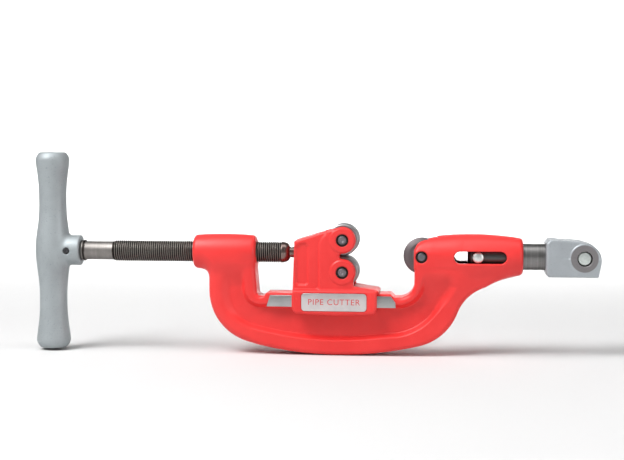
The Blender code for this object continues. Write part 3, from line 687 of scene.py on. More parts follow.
def place_of(made, stretch=(1.0, 1.0, 1.0), centre=(0.0, 0.0, 0.0)):
    """The place on the piece, in metres, measured from a centre and stretched along each axis."""
    place = add(made, "ShaderNodeTexCoord").outputs["Object"]
    for operation, amount in (("SUBTRACT", centre), ("MULTIPLY", stretch)):
        node = add(made, "ShaderNodeVectorMath", operation=operation)
        link(made, place, node.inputs[0])
        node.inputs[1].default_value = amount
        place = node.outputs[0]
    return place


def noise(made, place, scale, detail=3.0):
    node = add(made, "ShaderNodeTexNoise", Vector=place, Scale=scale, Detail=detail, Roughness=0.55)
    return node.outputs["Fac"]


def spread(made, value, low, high, low_to, high_to):
    """A value carried from one range to another."""
    node = add(made, "ShaderNodeMapRange", Value=value)
    for key, number in zip(("From Min", "From Max", "To Min", "To Max"), (low, high, low_to, high_to)):
        node.inputs[key].default_value = number
    return node.outputs["Result"]


def darker(colour, share):
    return tuple(share * part for part in colour)


def uneven(made, height):
    """A noise stretched to the whole range from 0 to 1."""
    return spread(made, height, 0.3, 0.7, 0.0, 1.0)


def mix_colours(made, share, first, second):
    node = add(made, "ShaderNodeMix", data_type="RGBA")
    link(made, share, node.inputs["Factor"])
    for socket, colour in zip((node.inputs[6], node.inputs[7]), (first, second)):
        if isinstance(colour, bpy.types.NodeSocket):
            link(made, colour, socket)
        else:
            socket.default_value = (*colour, 1.0)
    return node.outputs[2]


def roughen(made, surface, layers):
    """Stack bumps, each a (height, distance in metres, strength)."""
    normal = None
    for height, distance, strength in layers:
        node = add(made, "ShaderNodeBump", Height=height, Distance=distance, Strength=strength)
        if normal:
            link(made, normal, node.inputs["Normal"])
        normal = node.outputs["Normal"]
    link(made, normal, surface.inputs["Normal"])


def red_enamel(name, bore=None):
    """Sprayed enamel over a sand casting; inside a bore, given by its radius and centre, it is near-black:
    bare metal and painted shade.
    """
    made, surface = new_shader(name, metallic=0.0, specular=0.45)
    place = place_of(made)
    tone = spread(made, noise(made, place, 28.0), 0.35, 0.65, 0.0, 1.0)
    colour = mix_colours(made, tone, (0.72, 0.028, 0.027), (0.78, 0.036, 0.034))
    dust = spread(made, noise(made, place, 420.0, detail=5.0), 0.62, 0.78, 0.0, 0.22)
    colour = mix_colours(made, dust, colour, (0.54, 0.020, 0.019))
    # Near-black inside the bore and its slot: bare metal, with painted shade where the bore lies in shadow.
    if bore:
        radius, centre = bore
        _, out, _ = turned_place(made, "X", centre)
        inside = spread(made, out, (radius + 1.5) * MM, (radius + 2.5) * MM, 1.0, 0.0)
        to_right = part_of(made, place_of(made, centre=centre), "X")
        bare_metal_and_painted_shade = arithmetic(made, "MULTIPLY", inside, spread(made, to_right, 0.0, 0.5 * MM, 0.0, 1.0))
        colour = mix_colours(made, bare_metal_and_painted_shade, colour, (0.035, 0.030, 0.028))
    sheen = noise(made, place, 60.0, detail=4.0)
    dress(made, surface, colour, spread(made, sheen, 0.3, 0.7, 0.38, 0.50))
    sand = noise(made, place, 170.0, detail=4.0)
    peel = noise(made, place, 900.0, detail=2.0)
    roughen(made, surface, ((sand, 0.0004, 0.35), (peel, 0.0001, 0.25)))
    return made


def cast_zinc(name, colour, grain, shine=(0.36, 0.46), ring_at=None):
    """A grey casting with a fine blasted grain and faint clouds, and a machined ring round an eye."""
    made, surface = new_shader(name, metallic=0.4, specular=0.3)
    place = place_of(made)
    cloud = uneven(made, noise(made, place, 45.0, detail=4.0))
    tone = mix_colours(made, cloud, colour, darker(colour, 0.86))
    pits = spread(made, noise(made, place, 700.0, detail=3.0), 0.60, 0.75, 0.0, 0.5)
    tone = mix_colours(made, pits, tone, darker(colour, 0.55))
    if ring_at:
        _, out, _ = turned_place(made, "Y", ring_at)
        machined = spread(made, out, (EYE_R - 0.3) * MM, (EYE_R + 0.1) * MM, 1.0, 0.0)
        tone = mix_colours(made, machined, tone, (0.215, 0.205, 0.21))
    dress(made, surface, tone, spread(made, cloud, 0.0, 1.0, *shine))
    sand = noise(made, place, 260.0, detail=4.0)
    blast = noise(made, place, 1300.0, detail=3.0)
    roughen(made, surface, ((sand, 0.0003, grain), (blast, 0.00012, 0.6)))
    return made


def turned_place(made, axis, centre):
    """Coordinates along and away from a turned piece's axis, the radius alone, and the place."""
    place = place_of(made, centre=centre)
    parts = add(made, "ShaderNodeSeparateXYZ", Vector=place).outputs
    squares = [arithmetic(made, "MULTIPLY", parts[n], parts[n]) for n in "XYZ" if n != axis]
    radius = arithmetic(made, "SQRT", arithmetic(made, "ADD", *squares))
    joined = add(made, "ShaderNodeCombineXYZ", X=parts[axis], Y=radius)
    return joined.outputs[0], radius, place


def turned_steel(name, axis, centre, colour, shine=(0.22, 0.38), lines=0.5, streak=0.82, oil_and_shade_end=None):
    """Turned steel with fine lines round its axis and faint stains; up to a place it may be darker: oil and
    painted shade.
    """
    made, surface = new_shader(name, metallic=1.0)
    rings, _, place = turned_place(made, axis, centre)
    fine = noise(made, rings, 2600.0, detail=2.0)
    broad = noise(made, rings, 420.0, detail=3.0)
    stain = spread(made, noise(made, place, 130.0, detail=4.0), 0.45, 0.75, 0.0, 0.6)
    tone = mix_colours(made, uneven(made, broad), colour, darker(colour, streak))
    tone = mix_colours(made, stain, tone, darker(colour, 0.62))
    # Darker up to the given place along the axis: oily metal, and painted shade where the piece runs inside
    # another.
    if oil_and_shade_end is not None:
        dark = spread(made, part_of(made, place, axis), (oil_and_shade_end - 2.0) * MM, oil_and_shade_end * MM, 1.0, 0.0)
        tone = mix_colours(made, dark, tone, darker(colour, 0.4))
    dress(made, surface, tone, spread(made, fine, 0.3, 0.7, *shine))
    roughen(made, surface, ((fine, 0.00006, lines), (broad, 0.00008, 0.4 * lines)))
    return made


def pale_steel(name, centre, colour):
    """A pin along Y with a soft, pale end."""
    return turned_steel(name, "Y", centre, colour, shine=(0.38, 0.48), lines=0.3)


def ground_steel(name, colour, along):
    """Flat steel ground in one direction, with a few scratches across."""
    made, surface = new_shader(name, metallic=1.0)
    stretch = tuple(0.04 if axis == along else 1.0 for axis in "XYZ")
    place = place_of(made, stretch=stretch)
    fine = noise(made, place, 2200.0, detail=3.0)
    cloud = noise(made, place_of(made), 60.0, detail=4.0)
    tone = mix_colours(made, uneven(made, cloud), colour, darker(colour, 0.8))
    dress(made, surface, tone, spread(made, fine, 0.3, 0.7, 0.28, 0.45))
    roughen(made, surface, ((fine, 0.00008, 0.5),))
    return made


def black_oxide(name, axis="X", centre=(0.0, 0.0, 0.0), crest_r=None):
    """Oiled black oxide; on a thread its crests are rubbed lighter."""
    made, surface = new_shader(name, metallic=0.8)
    _, radius, place = turned_place(made, axis, centre)
    cloud = uneven(made, noise(made, place, 160.0, detail=4.0))
    tone = mix_colours(made, cloud, (0.022, 0.019, 0.017), (0.042, 0.036, 0.032))
    if crest_r:
        worn = spread(made, radius, (crest_r - 0.5) * MM, (crest_r - 0.05) * MM, 0.0, 0.7)
        tone = mix_colours(made, worn, tone, (0.40, 0.37, 0.34))
    dress(made, surface, tone, spread(made, cloud, 0.0, 1.0, 0.34, 0.5))
    roughen(made, surface, ((noise(made, place, 1200.0, detail=3.0), 0.00008, 0.5),))
    return made


def plate_metal():
    """Brushed plate with a light satin sheen."""
    made, surface = new_shader("brushed_plate", metallic=0.9)
    fine = noise(made, place_of(made, stretch=(0.03, 1.0, 1.0)), 2600.0, detail=3.0)
    cloud = noise(made, place_of(made), 90.0, detail=4.0)
    tone = mix_colours(made, uneven(made, cloud), (0.74, 0.70, 0.70), (0.62, 0.60, 0.60))
    dress(made, surface, tone, spread(made, fine, 0.3, 0.7, 0.30, 0.46))
    roughen(made, surface, ((fine, 0.00005, 0.4),))
    return made


def printed_ink():
    made, surface = new_shader("red_print", metallic=0.0)
    place = place_of(made)
    tone = spread(made, noise(made, place, 900.0), 0.35, 0.65, 0.0, 1.0)
    colour = mix_colours(made, tone, (0.52, 0.022, 0.030), (0.60, 0.030, 0.036))
    link(made, colour, surface.inputs["Base Color"])
    surface.inputs["Roughness"].default_value = 0.45
    return made


def studio_paper():
    made, surface = new_shader("studio_paper", metallic=0.0, specular=0.2)
    tone = uneven(made, noise(made, place_of(made), 2.0, detail=2.0))
    colour = mix_colours(made, tone, (0.66, 0.66, 0.66), (0.67, 0.67, 0.67))
    link(made, colour, surface.inputs["Base Color"])
    surface.inputs["Roughness"].default_value = 0.9
    return made


# ---------------------------------------------------------------- frame casting


def arch_curves():
    """The arch's outer curves as (centre, radius, start, end), from the left arm to the barrel."""
    bottom = (BOTTOM[0], BOTTOM[1] + BOTTOM_R)
    left_drop = sqrt((BOTTOM_R - CORNER_L[1]) ** 2 - (CORNER_L[0] - BOTTOM[0]) ** 2)
    right_drop = sqrt((BOTTOM_R - CORNER_R[1]) ** 2 - (CORNER_R[0] - BOTTOM[0]) ** 2)
    left = (CORNER_L[0], bottom[1] - left_drop)
    right = (CORNER_R[0], bottom[1] - right_drop)
    left_angle = atan2(-left_drop, CORNER_L[0] - BOTTOM[0]) * 180 / pi
    right_angle = atan2(-right_drop, CORNER_R[0] - BOTTOM[0]) * 180 / pi
    reach = CORNER_R[1] + ARMPIT_R
    tilt = radians(ARMPIT_START)
    armpit = (right[0] + reach * cos(tilt), right[1] + reach * sin(tilt))
    return {
        "left": (left, CORNER_L[1], -180.0, left_angle),
        "bottom": (bottom, BOTTOM_R, left_angle, right_angle),
        "right": (right, CORNER_R[1], right_angle, ARMPIT_START),
        "armpit": (armpit, ARMPIT_R, 180.0 + ARMPIT_START, 90.0 + BARREL_SLOPE),
    }


def frame_outline():
    """The C-frame's side view, from the left arm round the outside and back through the throat."""
    curves = arch_curves()
    outline = [(ARM_OUT_X, ARM_TOP_Z)]
    for name in ("left", "bottom", "right", "armpit"):
        outline += arc(*curves[name])
    outline += [*INSIDE_BARREL, (CLAW_X, CLAW_TOP_Z)]
    outline += arc((CLAW_X - THROAT_R, FLOOR_Z + THROAT_R), THROAT_R, 0.0, -90.0)
    outline += [(RAIL_X[1] + RAIL_SLANT[1], FLOOR_Z), (RAIL_X[1], RAIL_Z)]
    outline += [(RAIL_X[0], RAIL_Z), (RAIL_X[0] - RAIL_SLANT[0], FLOOR_Z)]
    outline += arc((ARM_IN_X + ARM_CORNER_R, FLOOR_Z + ARM_CORNER_R), ARM_CORNER_R, -90.0, -180.0, 6)
    outline += [(ARM_IN_X - ARM_SLANT, ARM_TOP_Z)]
    return outline


def web_outline():
    """The hollow between the rims, along the middle of its sloping walls."""
    curves = arch_curves()
    centre, radius, start, end = curves["left"]
    outline = arc(centre, radius - OUTER_RIM, start, end)
    centre, radius, start, _ = curves["bottom"]
    outline += arc(centre, radius - OUTER_RIM, start, WEB_TURN_FROM)
    outline += arc(WEB_TURN, WEB_TURN_R, *WEB_TURN_ARC)
    outline += WEB_CLAW
    outline += arc((CLAW_X - THROAT_R, FLOOR_Z + THROAT_R), THROAT_R + WEB_THROAT, 0.0, -90.0)
    corner_r = ARM_CORNER_R + INNER_RIM
    outline += arc((ARM_IN_X + ARM_CORNER_R, RAIL_Z + ARM_CORNER_R), corner_r, -90.0, -180.0)
    return outline + [(ARM_IN_X - INNER_RIM, WEB_TOP_Z), (ARM_OUT_X + OUTER_RIM, WEB_TOP_Z)]


def hollow_depth(x, z):
    """How far the face lies back: a web between crisp rims, a soft valley up the left arm."""
    inward = -outline_distance(web_outline(), x, z)
    up_arm = patch(-x, z, *ARM_FADE)
    slope = WALL_SLOPE + ARM_SLOPE * up_arm * ease(-x, *ARM_SLOPE_FADE)
    slope = slope + CLAW_SLOPE * patch(x, z, *CLAW_FADE)
    depth = (RIM_HALF - WEB_HALF - ARM_VALLEY * up_arm) * ease(inward, -slope, slope)
    return depth * (1.0 - patch(-x, z, *ARM_END_FADE)) * (1.0 - patch(x, z, *FORK_HOLLOW_FADE))


def crowned(x, out, radius, crown_x, crown_r):
    """The side of a barrel-shaped bar along X."""
    return out - (radius - (x - crown_x) ** 2 / (2 * crown_r))


def frame_distance(x, y, z):
    side = np.abs(y)
    on_rail = ease(x, RAIL_X[0] - RAIL_FADE, RAIL_X[0]) * (1 - ease(x, RAIL_X[1], RAIL_X[1] + RAIL_FADE))
    on_rail = on_rail * ease(z, *RAIL_FADE_Z)
    edge = CAST_EDGE - (CAST_EDGE - RAIL_EDGE) * on_rail + ARM_EDGE * ease(-x, *ARM_EDGE_FADE)
    to_fork = patch(x, z, *FORK_FADE) * (1 - ease(x, *FORK_END_FADE))
    face = side - RIM_HALF - (FORK_HALF - RIM_HALF) * to_fork + hollow_depth(x, z)
    arch = rounded(outline_distance(frame_outline(), x, z), face, edge)
    boss_out = np.hypot(y, z - SCREW_Z)
    boss = crowned(x, boss_out, BOSS_R, sum(BOSS_X) / 2, BOSS_CROWN_R)
    boss = rounded(boss, between(x, BOSS_X), CAST_EDGE)
    body = blend_union(arch, boss, BOSS_FILLET[0] + BOSS_FILLET[1] * ease(-x, *BOSS_FADE))

    barrel = crowned(x, np.hypot(y, z), BARREL_R, BARREL_CROWN_X, BARREL_CROWN_R)
    barrel = rounded(barrel, between(x, (BARREL_START_X, BARREL_END_X)), BARREL_EDGE)
    lug_outline = [(LUG_CENTRE[0] - LUG_R, LUG_FOOT_Z), (LUG_TOP[0][0], LUG_FOOT_Z), *LUG_TOP]
    lug_outline += arc(LUG_CENTRE, LUG_R, 100.0, 180.0)
    lug_top = crowned(x, z, BARREL_R, BARREL_CROWN_X, BARREL_CROWN_R)
    lug_top = lug_top + LUG_SINK * ease(x, *LUG_SINK_FADE)
    lug_side = rounded(lug_top, side - FORK_HALF, LUG_ROUND)
    lug = rounded(outline_distance(lug_outline, x, z), lug_side, LUG_EDGE)
    body = blend_union(body, barrel, BARREL_FILLET[0] + BARREL_FILLET[1] * ease(x, *BARREL_FADE))
    body = blend_union(body, lug, LUG_FILLET)

    room = WHEEL_R + WELL_GAP
    well = arc((0.0, 0.0), room, 0.0, -90.0)
    well += [(WELL_X, -room), (WELL_X, WELL_TOP), (room - WELL_LEAN, WELL_TOP)]
    slot = np.maximum(outline_distance(well, x, z), side - WHEEL_HUB_HALF - GAP)
    body = blend_cut(body, slot, SLOT_EDGE)
    guide = np.hypot(x - np.clip(x, SLOT_X[0] + SLOT_R, SLOT_X[1] - SLOT_R), z) - SLOT_R
    body = blend_cut(body, guide, SLOT_EDGE)
    bore = np.maximum(np.hypot(y, z) - SHAFT_R - GAP, BORE_X - x)
    body = blend_cut(body, bore, BORE_EDGE)
    thread = np.maximum(boss_out - THREAD_R - GAP, x - NUT_END_X)
    body = blend_cut(body, thread, BORE_EDGE)
    body = np.maximum(body, WHEEL_PIN_R + GAP - np.hypot(x, z))
    seat = np.hypot(x, z) - WHEEL_PIN_R - RING_WALL - 2 * GAP
    seat = np.maximum(seat, FORK_HALF - RING_THICK - GAP - side)
    return blend_cut(body, seat, HOLE_EDGE)


def frame_casting(red, ground):
    """The painted casting and the ground faces on both sides of its rail."""
    low = (BOSS_X[0], -BARREL_R, BOTTOM[1])
    high = (BARREL_END_X, BARREL_R, BARREL_R)
    piece = casting("frame_body", frame_distance, low, high, WHEEL, STEP)
    finish(piece, "frame", "red_paint", red, "frame_casting")

    top = RAIL_Z - RAIL_FACE_DROP
    bottom = HOOK_Z + GAP
    left, right = RAIL_X
    face = [(left + 0.2, bottom), (right + 4.6, bottom), (right + 4.2, top - 5.6)]
    face += [(right + 0.3, top), (left + 3.4, top)]
    for name, side in (("front", -1.0), ("back", 1.0)):
        depths = sorted((side * RAIL_FACE_ROOT, side * PAD_HALF))
        pad = slab("rail_face_" + name, face, depths, 0.25, WHEEL)
        finish(pad, "frame", "bright_steel", ground)


# ---------------------------------------------------------------- saddle


def cheek_outline():
    """Side view of the cheeks: sloping roof, two round bosses with a notch between, and the toe."""
    left, right = SADDLE_X
    rise = atan2(ROLLER_Z + ROLLER_BOSS_R - 1.0 - SADDLE_TOP_Z, -left - 5.0) * 180 / pi
    foot = SKIRT_Z[1] - CHEEK_FOOT
    outline = [(left, SKIRT_Z[1] - 1.5), (left + END_SLANT, SADDLE_TOP_Z)]
    outline += arc((0.0, ROLLER_Z), ROLLER_BOSS_R, 90.0 + rise, -90.0, 24)
    outline += arc((0.0, 0.0), ROLLER_Z - ROLLER_BOSS_R, 90.0, 270.0, 8)
    outline += arc((0.0, -ROLLER_Z), ROLLER_BOSS_R, 90.0, -34.0, 16)
    outline += [(TOE_X, TOE_Z[0]), (right - 2.0, TOE_Z[1]), (right, TOE_Z[2]), (right, foot)]
    return outline + [(right - 4.0, foot), (left + 4.0, foot)]


def block_outline():
    """Where the cheek is lower, from the end wall to a ridge that bends towards the upper boss."""
    outline = [(-OPEN, SKIRT_Z[1] + 1.0)]
    outline += arc((-24.5, SKIRT_Z[1] + 4.0), 3.0, -90.0, 0.0, 6)
    outline += arc((-6.5, 8.0), 15.0, 180.0, 125.0, 8)
    return outline + [(-8.0, 40.0), (-OPEN, 40.0)]


def skirt_outline():
    """The skirt's lower edge is bowed, and its corners are rounded."""
    x0, x1 = SKIRT_X
    z0, z1 = SKIRT_Z
    middle = (x0 + x1) / 2
    bow = []
    for i in range(9):
        x = x0 + 3.0 + (x1 - x0 - 6.0) * i / 8
        bow.append((x, z0 + (x - middle) ** 2 / (2 * SKIRT_BOW_R)))
    outline = [(x0 - 0.9, z1 - 4.0), (x0 - 0.9, z0 + 6.6), (x0 + 0.4, z0 + 3.2)] + bow
    return outline + [(x1 - 0.8, z0 + 3.4), (x1, z0 + 6.6), (x1, z1 - 1.0), (x1 - 2.0, z1), (x0, z1)]


def slide_distance(x, y, z):
    return saddle_cuts(saddle_block(x, y, z), x, y, z)


def saddle_block(x, y, z):
    """The cheeks with their lower fields, the bosses' faces and the skirts, before any machining."""
    side = np.abs(y)
    cheek = rounded(outline_distance(cheek_outline(), x, z), side - CHEEK_HALF, CHEEK_EDGE)
    block = np.maximum(outline_distance(block_outline(), x, z), BLOCK_HALF - side)
    cheek = blend_cut(cheek, block, BLOCK_FILLET)
    recess = rounded(outline_distance(HOLLOW, x, z), BLOCK_HALF - HOLLOW_DEEP - side, 1.0)
    body = blend_cut(cheek, recess, HOLLOW_FILLET)
    for centre in (-ROLLER_Z, ROLLER_Z):
        disc = rounded(np.hypot(x, z - centre) - BOSS_FACE_R, side - BOSS_FACE_Y, BOSS_FACE_EDGE)
        body = blend_union(body, disc, SADDLE_FILLET)
    skirt = rounded(outline_distance(skirt_outline(), x, z), side - SKIRT_HALF, SKIRT_EDGE)
    return blend_union(body, skirt, SADDLE_FILLET)


def saddle_cuts(body, x, y, z):
    """The rail's channel, the rollers' room, the screw's and pins' bores, and the plate's seat."""
    side = np.abs(y)
    channel = np.maximum(side - PAD_HALF - GAP, between(z, (HOOK_Z, RAIL_Z + GAP)))
    body = blend_cut(body, channel, SEAT_EDGE)
    under = np.maximum(z - HOOK_Z - 0.1, -HOOK_IN - y)
    body = blend_cut(body, under, SEAT_EDGE)
    room = [(POCKET_X, OPEN), (POCKET_X, POCKET_Z[0]), (TOE_X - 3.5, POCKET_Z[0])]
    room += [(TOE_X - 0.5, POCKET_Z[1]), (OPEN, POCKET_Z[1]), (OPEN, OPEN)]
    roller_room = np.maximum(outline_distance(room, x, z), side - CHEEK_GAP_HALF)
    body = blend_cut(body, roller_room, POCKET_EDGE)
    out = np.hypot(y, z - SCREW_Z)
    body = np.maximum(body, -np.maximum(out - NECK_R - GAP, x - SCREW_X - NOSE_X - GAP))
    pin_x, pin_y = retaining_pin_place()
    pin_bore = np.hypot(x - pin_x, y - pin_y) - RETAINING_PIN_R - GAP
    pin_bore = np.maximum(pin_bore, RETAINING_PIN_Z[0] - 0.5 - z)
    body = np.maximum(body, -pin_bore)
    seat_walls = outline_distance(offset(plate_outline(), GAP), x, z)
    body = blend_cut(body, np.maximum(seat_walls, y + SKIRT_HALF - PLATE_THICK), SEAT_EDGE)
    for centre in (-ROLLER_Z, ROLLER_Z):
        from_axis = np.hypot(x, z - centre)
        body = np.maximum(body, ROLLER_PIN_R + GAP - from_axis)
        seat = from_axis - ROLLER_PIN_R - RING_WALL - 2 * GAP
        seat = np.maximum(seat, BOSS_FACE_Y - RING_THICK - GAP - side)
        body = blend_cut(body, seat, SEAT_EDGE)
    for screw_x in KEEPER_SCREW_X:
        hole = np.hypot(x - screw_x, y - KEEPER_SCREW_Y) - KEEPER_SCREW_R - GAP
        body = np.maximum(body, -np.maximum(hole, z - HOOK_Z - KEEPER_SCREW_REACH - 1.0))
    return body


def retaining_pin_place():
    """The pin stands upright, tangent to the groove in the screw's nose."""
    return SCREW_X + sum(NOSE_GROOVE_X) / 2, NOSE_GROOVE_R + RETAINING_PIN_R + GAP


def plate_outline():
    r = PLATE_CORNER_R
    x0, x1 = PLATE_X
    z0, z1 = PLATE_Z
    outline = arc((x0 + r, z0 + r), r, 180.0, 270.0, 6) + arc((x1 - r, z0 + r), r, 270.0, 360.0, 6)
    return outline + arc((x1 - r, z1 - r), r, 0.0, 90.0, 6) + arc((x0 + r, z1 - r), r, 90.0, 180.0, 6)


def nameplate(metal, ink):
    """A brushed plate with a plain description of the tool printed on it."""
    front = -SKIRT_HALF - GAP
    plate = slab("name_plate", plate_outline(), (front, front + PLATE_THICK), 0.2, ROLLERS)
    finish(plate, "saddle", "plate", metal, "nameplate")
    words = bpy.data.curves.new("plate_words", "FONT")
    words.body = "PIPE CUTTER"
    words.size = PRINT_SIZE * MM
    words.space_character = 1.12
    words.extrude = PRINT_THICK * MM
    words.align_x = "CENTER"
    words.align_y = "CENTER"
    drawn = bpy.data.objects.new("drawn_words", words)
    bpy.context.scene.collection.objects.link(drawn)
    bpy.context.view_layer.update()
    mesh = bpy.data.meshes.new_from_object(drawn.evaluated_get(bpy.context.evaluated_depsgraph_get()))
    bpy.data.objects.remove(drawn)
    centre = Vector((sum(PLATE_X) / 2, front, sum(PLATE_Z) / 2)) * MM + ROLLERS
    for vertex in mesh.vertices:
        x, z, out = vertex.co
        vertex.co = centre + Vector((x, -out, z))
    piece = bpy.data.objects.new("plate_print", mesh)
    bpy.context.scene.collection.objects.link(piece)
    piece.data.materials.clear()
    finish(piece, "saddle", "red_paint", ink)


def slide_keeper(black):
    """The bar that hooks under the rail behind, with its two socket-head screws."""
    low, high = HOOK_Z - KEEPER_THICK, HOOK_Z - GAP
    ends = (SKIRT_X[0] + KEEPER_IN, SKIRT_X[1] - KEEPER_IN)

    def keeper_distance(x, y, z):
        bar = rounded(between(x, ends), between(y, (HOOK_IN, SKIRT_HALF - 0.5)), KEEPER_CORNER_R)
        body = rounded(bar, between(z, (low, high)), KEEPER_EDGE)
        for screw_x in KEEPER_SCREW_X:
            hole = np.hypot(x - screw_x, y - KEEPER_SCREW_Y) - KEEPER_SCREW_R - GAP
            body = blend_cut(body, hole, 0.3)
        return body

    corners = (ends[0], HOOK_IN, low), (ends[1], SKIRT_HALF, high)
    keeper = casting("keeper_bar", keeper_distance, *corners, ROLLERS, FINE_STEP)
    finish(keeper, "saddle", "black_oxide", black, "slide_keeper")
    head_z = low - GAP
    floor_z = head_z - KEEPER_HEAD_HIGH
    for number, screw_x in enumerate(KEEPER_SCREW_X, start=1):
        deep_z = floor_z + KEEPER_SOCKET
        profile = [(deep_z, 0.0), (deep_z, SOCKET_R), (floor_z, SOCKET_MOUTH_R)]
        profile += [(floor_z, KEEPER_HEAD_R), (head_z, KEEPER_HEAD_R), (head_z, KEEPER_SCREW_R)]
        profile += [(HOOK_Z + KEEPER_SCREW_REACH, KEEPER_SCREW_R), (HOOK_Z + KEEPER_SCREW_REACH, 0.0)]
        screw = turned(f"socket_screw_{number}", profile, "Z", ROLLERS, (screw_x, KEEPER_SCREW_Y, 0.0))
        finish(screw, "saddle", "black_oxide", black, f"keeper_screw_{number}")


def retaining_rings(name, body, pin_r, face_y, origin, shader):
    """The two dark rings round an axle's ends."""
    inner = pin_r + GAP
    outer = inner + RING_WALL
    for where, side in (("front", -1.0), ("back", 1.0)):
        low, high = sorted((side * (face_y - RING_THICK), side * face_y))
        loop = [(low, inner), (low, outer), (high, outer), (high, inner)]
        ring = turned(f"{name}_clip_{where}", loop, "Y", origin, ring=True)
        finish(ring, body, "black_oxide", shader, f"{name}_pin_ring_{where}")


def saddle(red, black, plate, ink):
    """The painted block with its plate, keeper, retaining pin and the rollers' axles."""
    low = (SKIRT_X[0] - 2.0, -SKIRT_HALF, SKIRT_Z[0])
    high = (SADDLE_X[1], SKIRT_HALF, ROLLER_Z + ROLLER_BOSS_R)
    body = casting("slide_body", slide_distance, low, high, ROLLERS, FINE_STEP)
    finish(body, "saddle", "red_paint", red, "slide_housing")
    nameplate(plate, ink)
    slide_keeper(black)
    pin_x, pin_y = retaining_pin_place()
    steel = turned_steel("retaining_pin_steel", "Z", (0, 0, 0), (0.60, 0.59, 0.57))
    profile = rod(RETAINING_PIN_Z, RETAINING_PIN_R)
    pin = turned("nose_pin", profile, "Z", ROLLERS, (pin_x, pin_y, 0.0))
    finish(pin, "saddle", "bright_steel", steel, "screw_retaining_pin")
    for where, axis_at in (("upper", UPPER), ("lower", LOWER)):
        steel = turned_steel(where + "_pin_steel", "Y", axis_at, (0.26, 0.23, 0.25), shine=(0.4, 0.55))
        axle = turned(where + "_axle", pin_profile(ROLLER_PIN_R, BOSS_FACE_Y, 1.6), "Y", axis_at)
        finish(axle, "saddle", "bright_steel", steel, where + "_roller_pin")
        retaining_rings(where, "saddle", ROLLER_PIN_R, BOSS_FACE_Y, axis_at, black)


def roller(where, axis_at):
    """A ground roller with a chamfer, a fine groove near each end and a recessed end face."""
    hole = ROLLER_PIN_R + GAP
    half = ROLLER_HALF
    groove_r = ROLLER_R - ROLLER_GROOVE
    right = [(half - 0.5, hole), (half - 0.5, 8.6), (half, 9.4), (half, ROLLER_R - 1.0)]
    right += [(half - 0.9, ROLLER_R), (half - 2.2, ROLLER_R), (half - 2.4, groove_r)]
    right += [(half - 2.9, groove_r), (half - 3.1, ROLLER_R)]
    loop = both_ways(right)
    steel = turned_steel(where + "_roller_steel", "Y", axis_at, (0.38, 0.38, 0.39), shine=(0.32, 0.46))
    piece = turned(where + "_roller_body", loop, "Y", axis_at, ring=True, ease_by=0.12)
    finish(piece, where + "_roller_body", "bright_steel", steel, where + "_roller")


# ---------------------------------------------------------------- cutter wheel


def cutter_wheel():
    """A hub and a thin disc, ground to an edge at its rim."""
    disc = WHEEL_DISC_HALF
    right = [(WHEEL_HUB_HALF, WHEEL_PIN_R + GAP), (WHEEL_HUB_HALF, WHEEL_HUB_R)]
    right += [(disc + 0.4, WHEEL_HUB_R), (disc, WHEEL_HUB_R + 0.8)]
    right += [(disc, WHEEL_R - WHEEL_BEVEL), (WHEEL_EDGE_HALF, WHEEL_R)]
    loop = both_ways(right)
    steel = turned_steel("wheel_steel", "Y", WHEEL, (0.20, 0.175, 0.18), shine=(0.45, 0.6), lines=0.8)
    piece = turned("wheel_disc", loop, "Y", WHEEL, ring=True, ease_by=0.1)
    finish(piece, "cutter", "wheel_steel", steel, "cutter_wheel")


def wheel_axle(black):
    steel = turned_steel("wheel_pin_steel", "Y", WHEEL, (0.22, 0.21, 0.23), shine=(0.35, 0.5))
    axle = turned("wheel_axle", pin_profile(WHEEL_PIN_R, FORK_HALF), "Y", WHEEL)
    finish(axle, "frame", "bright_steel", steel, "wheel_pin")
    retaining_rings("wheel", "frame", WHEEL_PIN_R, FORK_HALF, WHEEL, black)


# ---------------------------------------------------------------- feed screw and handle


def screw_radius(along, crest):
    """Outer shape of the threaded length: run-out, thread with its crests, and dome."""
    depth = THREAD_DEPTH * ease(along, THREAD_X[0], THREAD_X[0] + 3.0)
    root = THREAD_R - THREAD_DEPTH
    thread = root + depth * crest
    share = np.clip((along - THREAD_X[1]) / (DOME_END_X - THREAD_X[1]), 0.0, 1.0)
    dome = NECK_R + 0.9 + (THREAD_R - NECK_R - 0.9) * np.sqrt(1.0 - share ** 2)
    filled = THREAD_R - (THREAD_R - thread) * (1.0 - ease(along, THREAD_X[1] - 0.6, THREAD_X[1] + 0.6))
    return np.minimum(filled, dome)


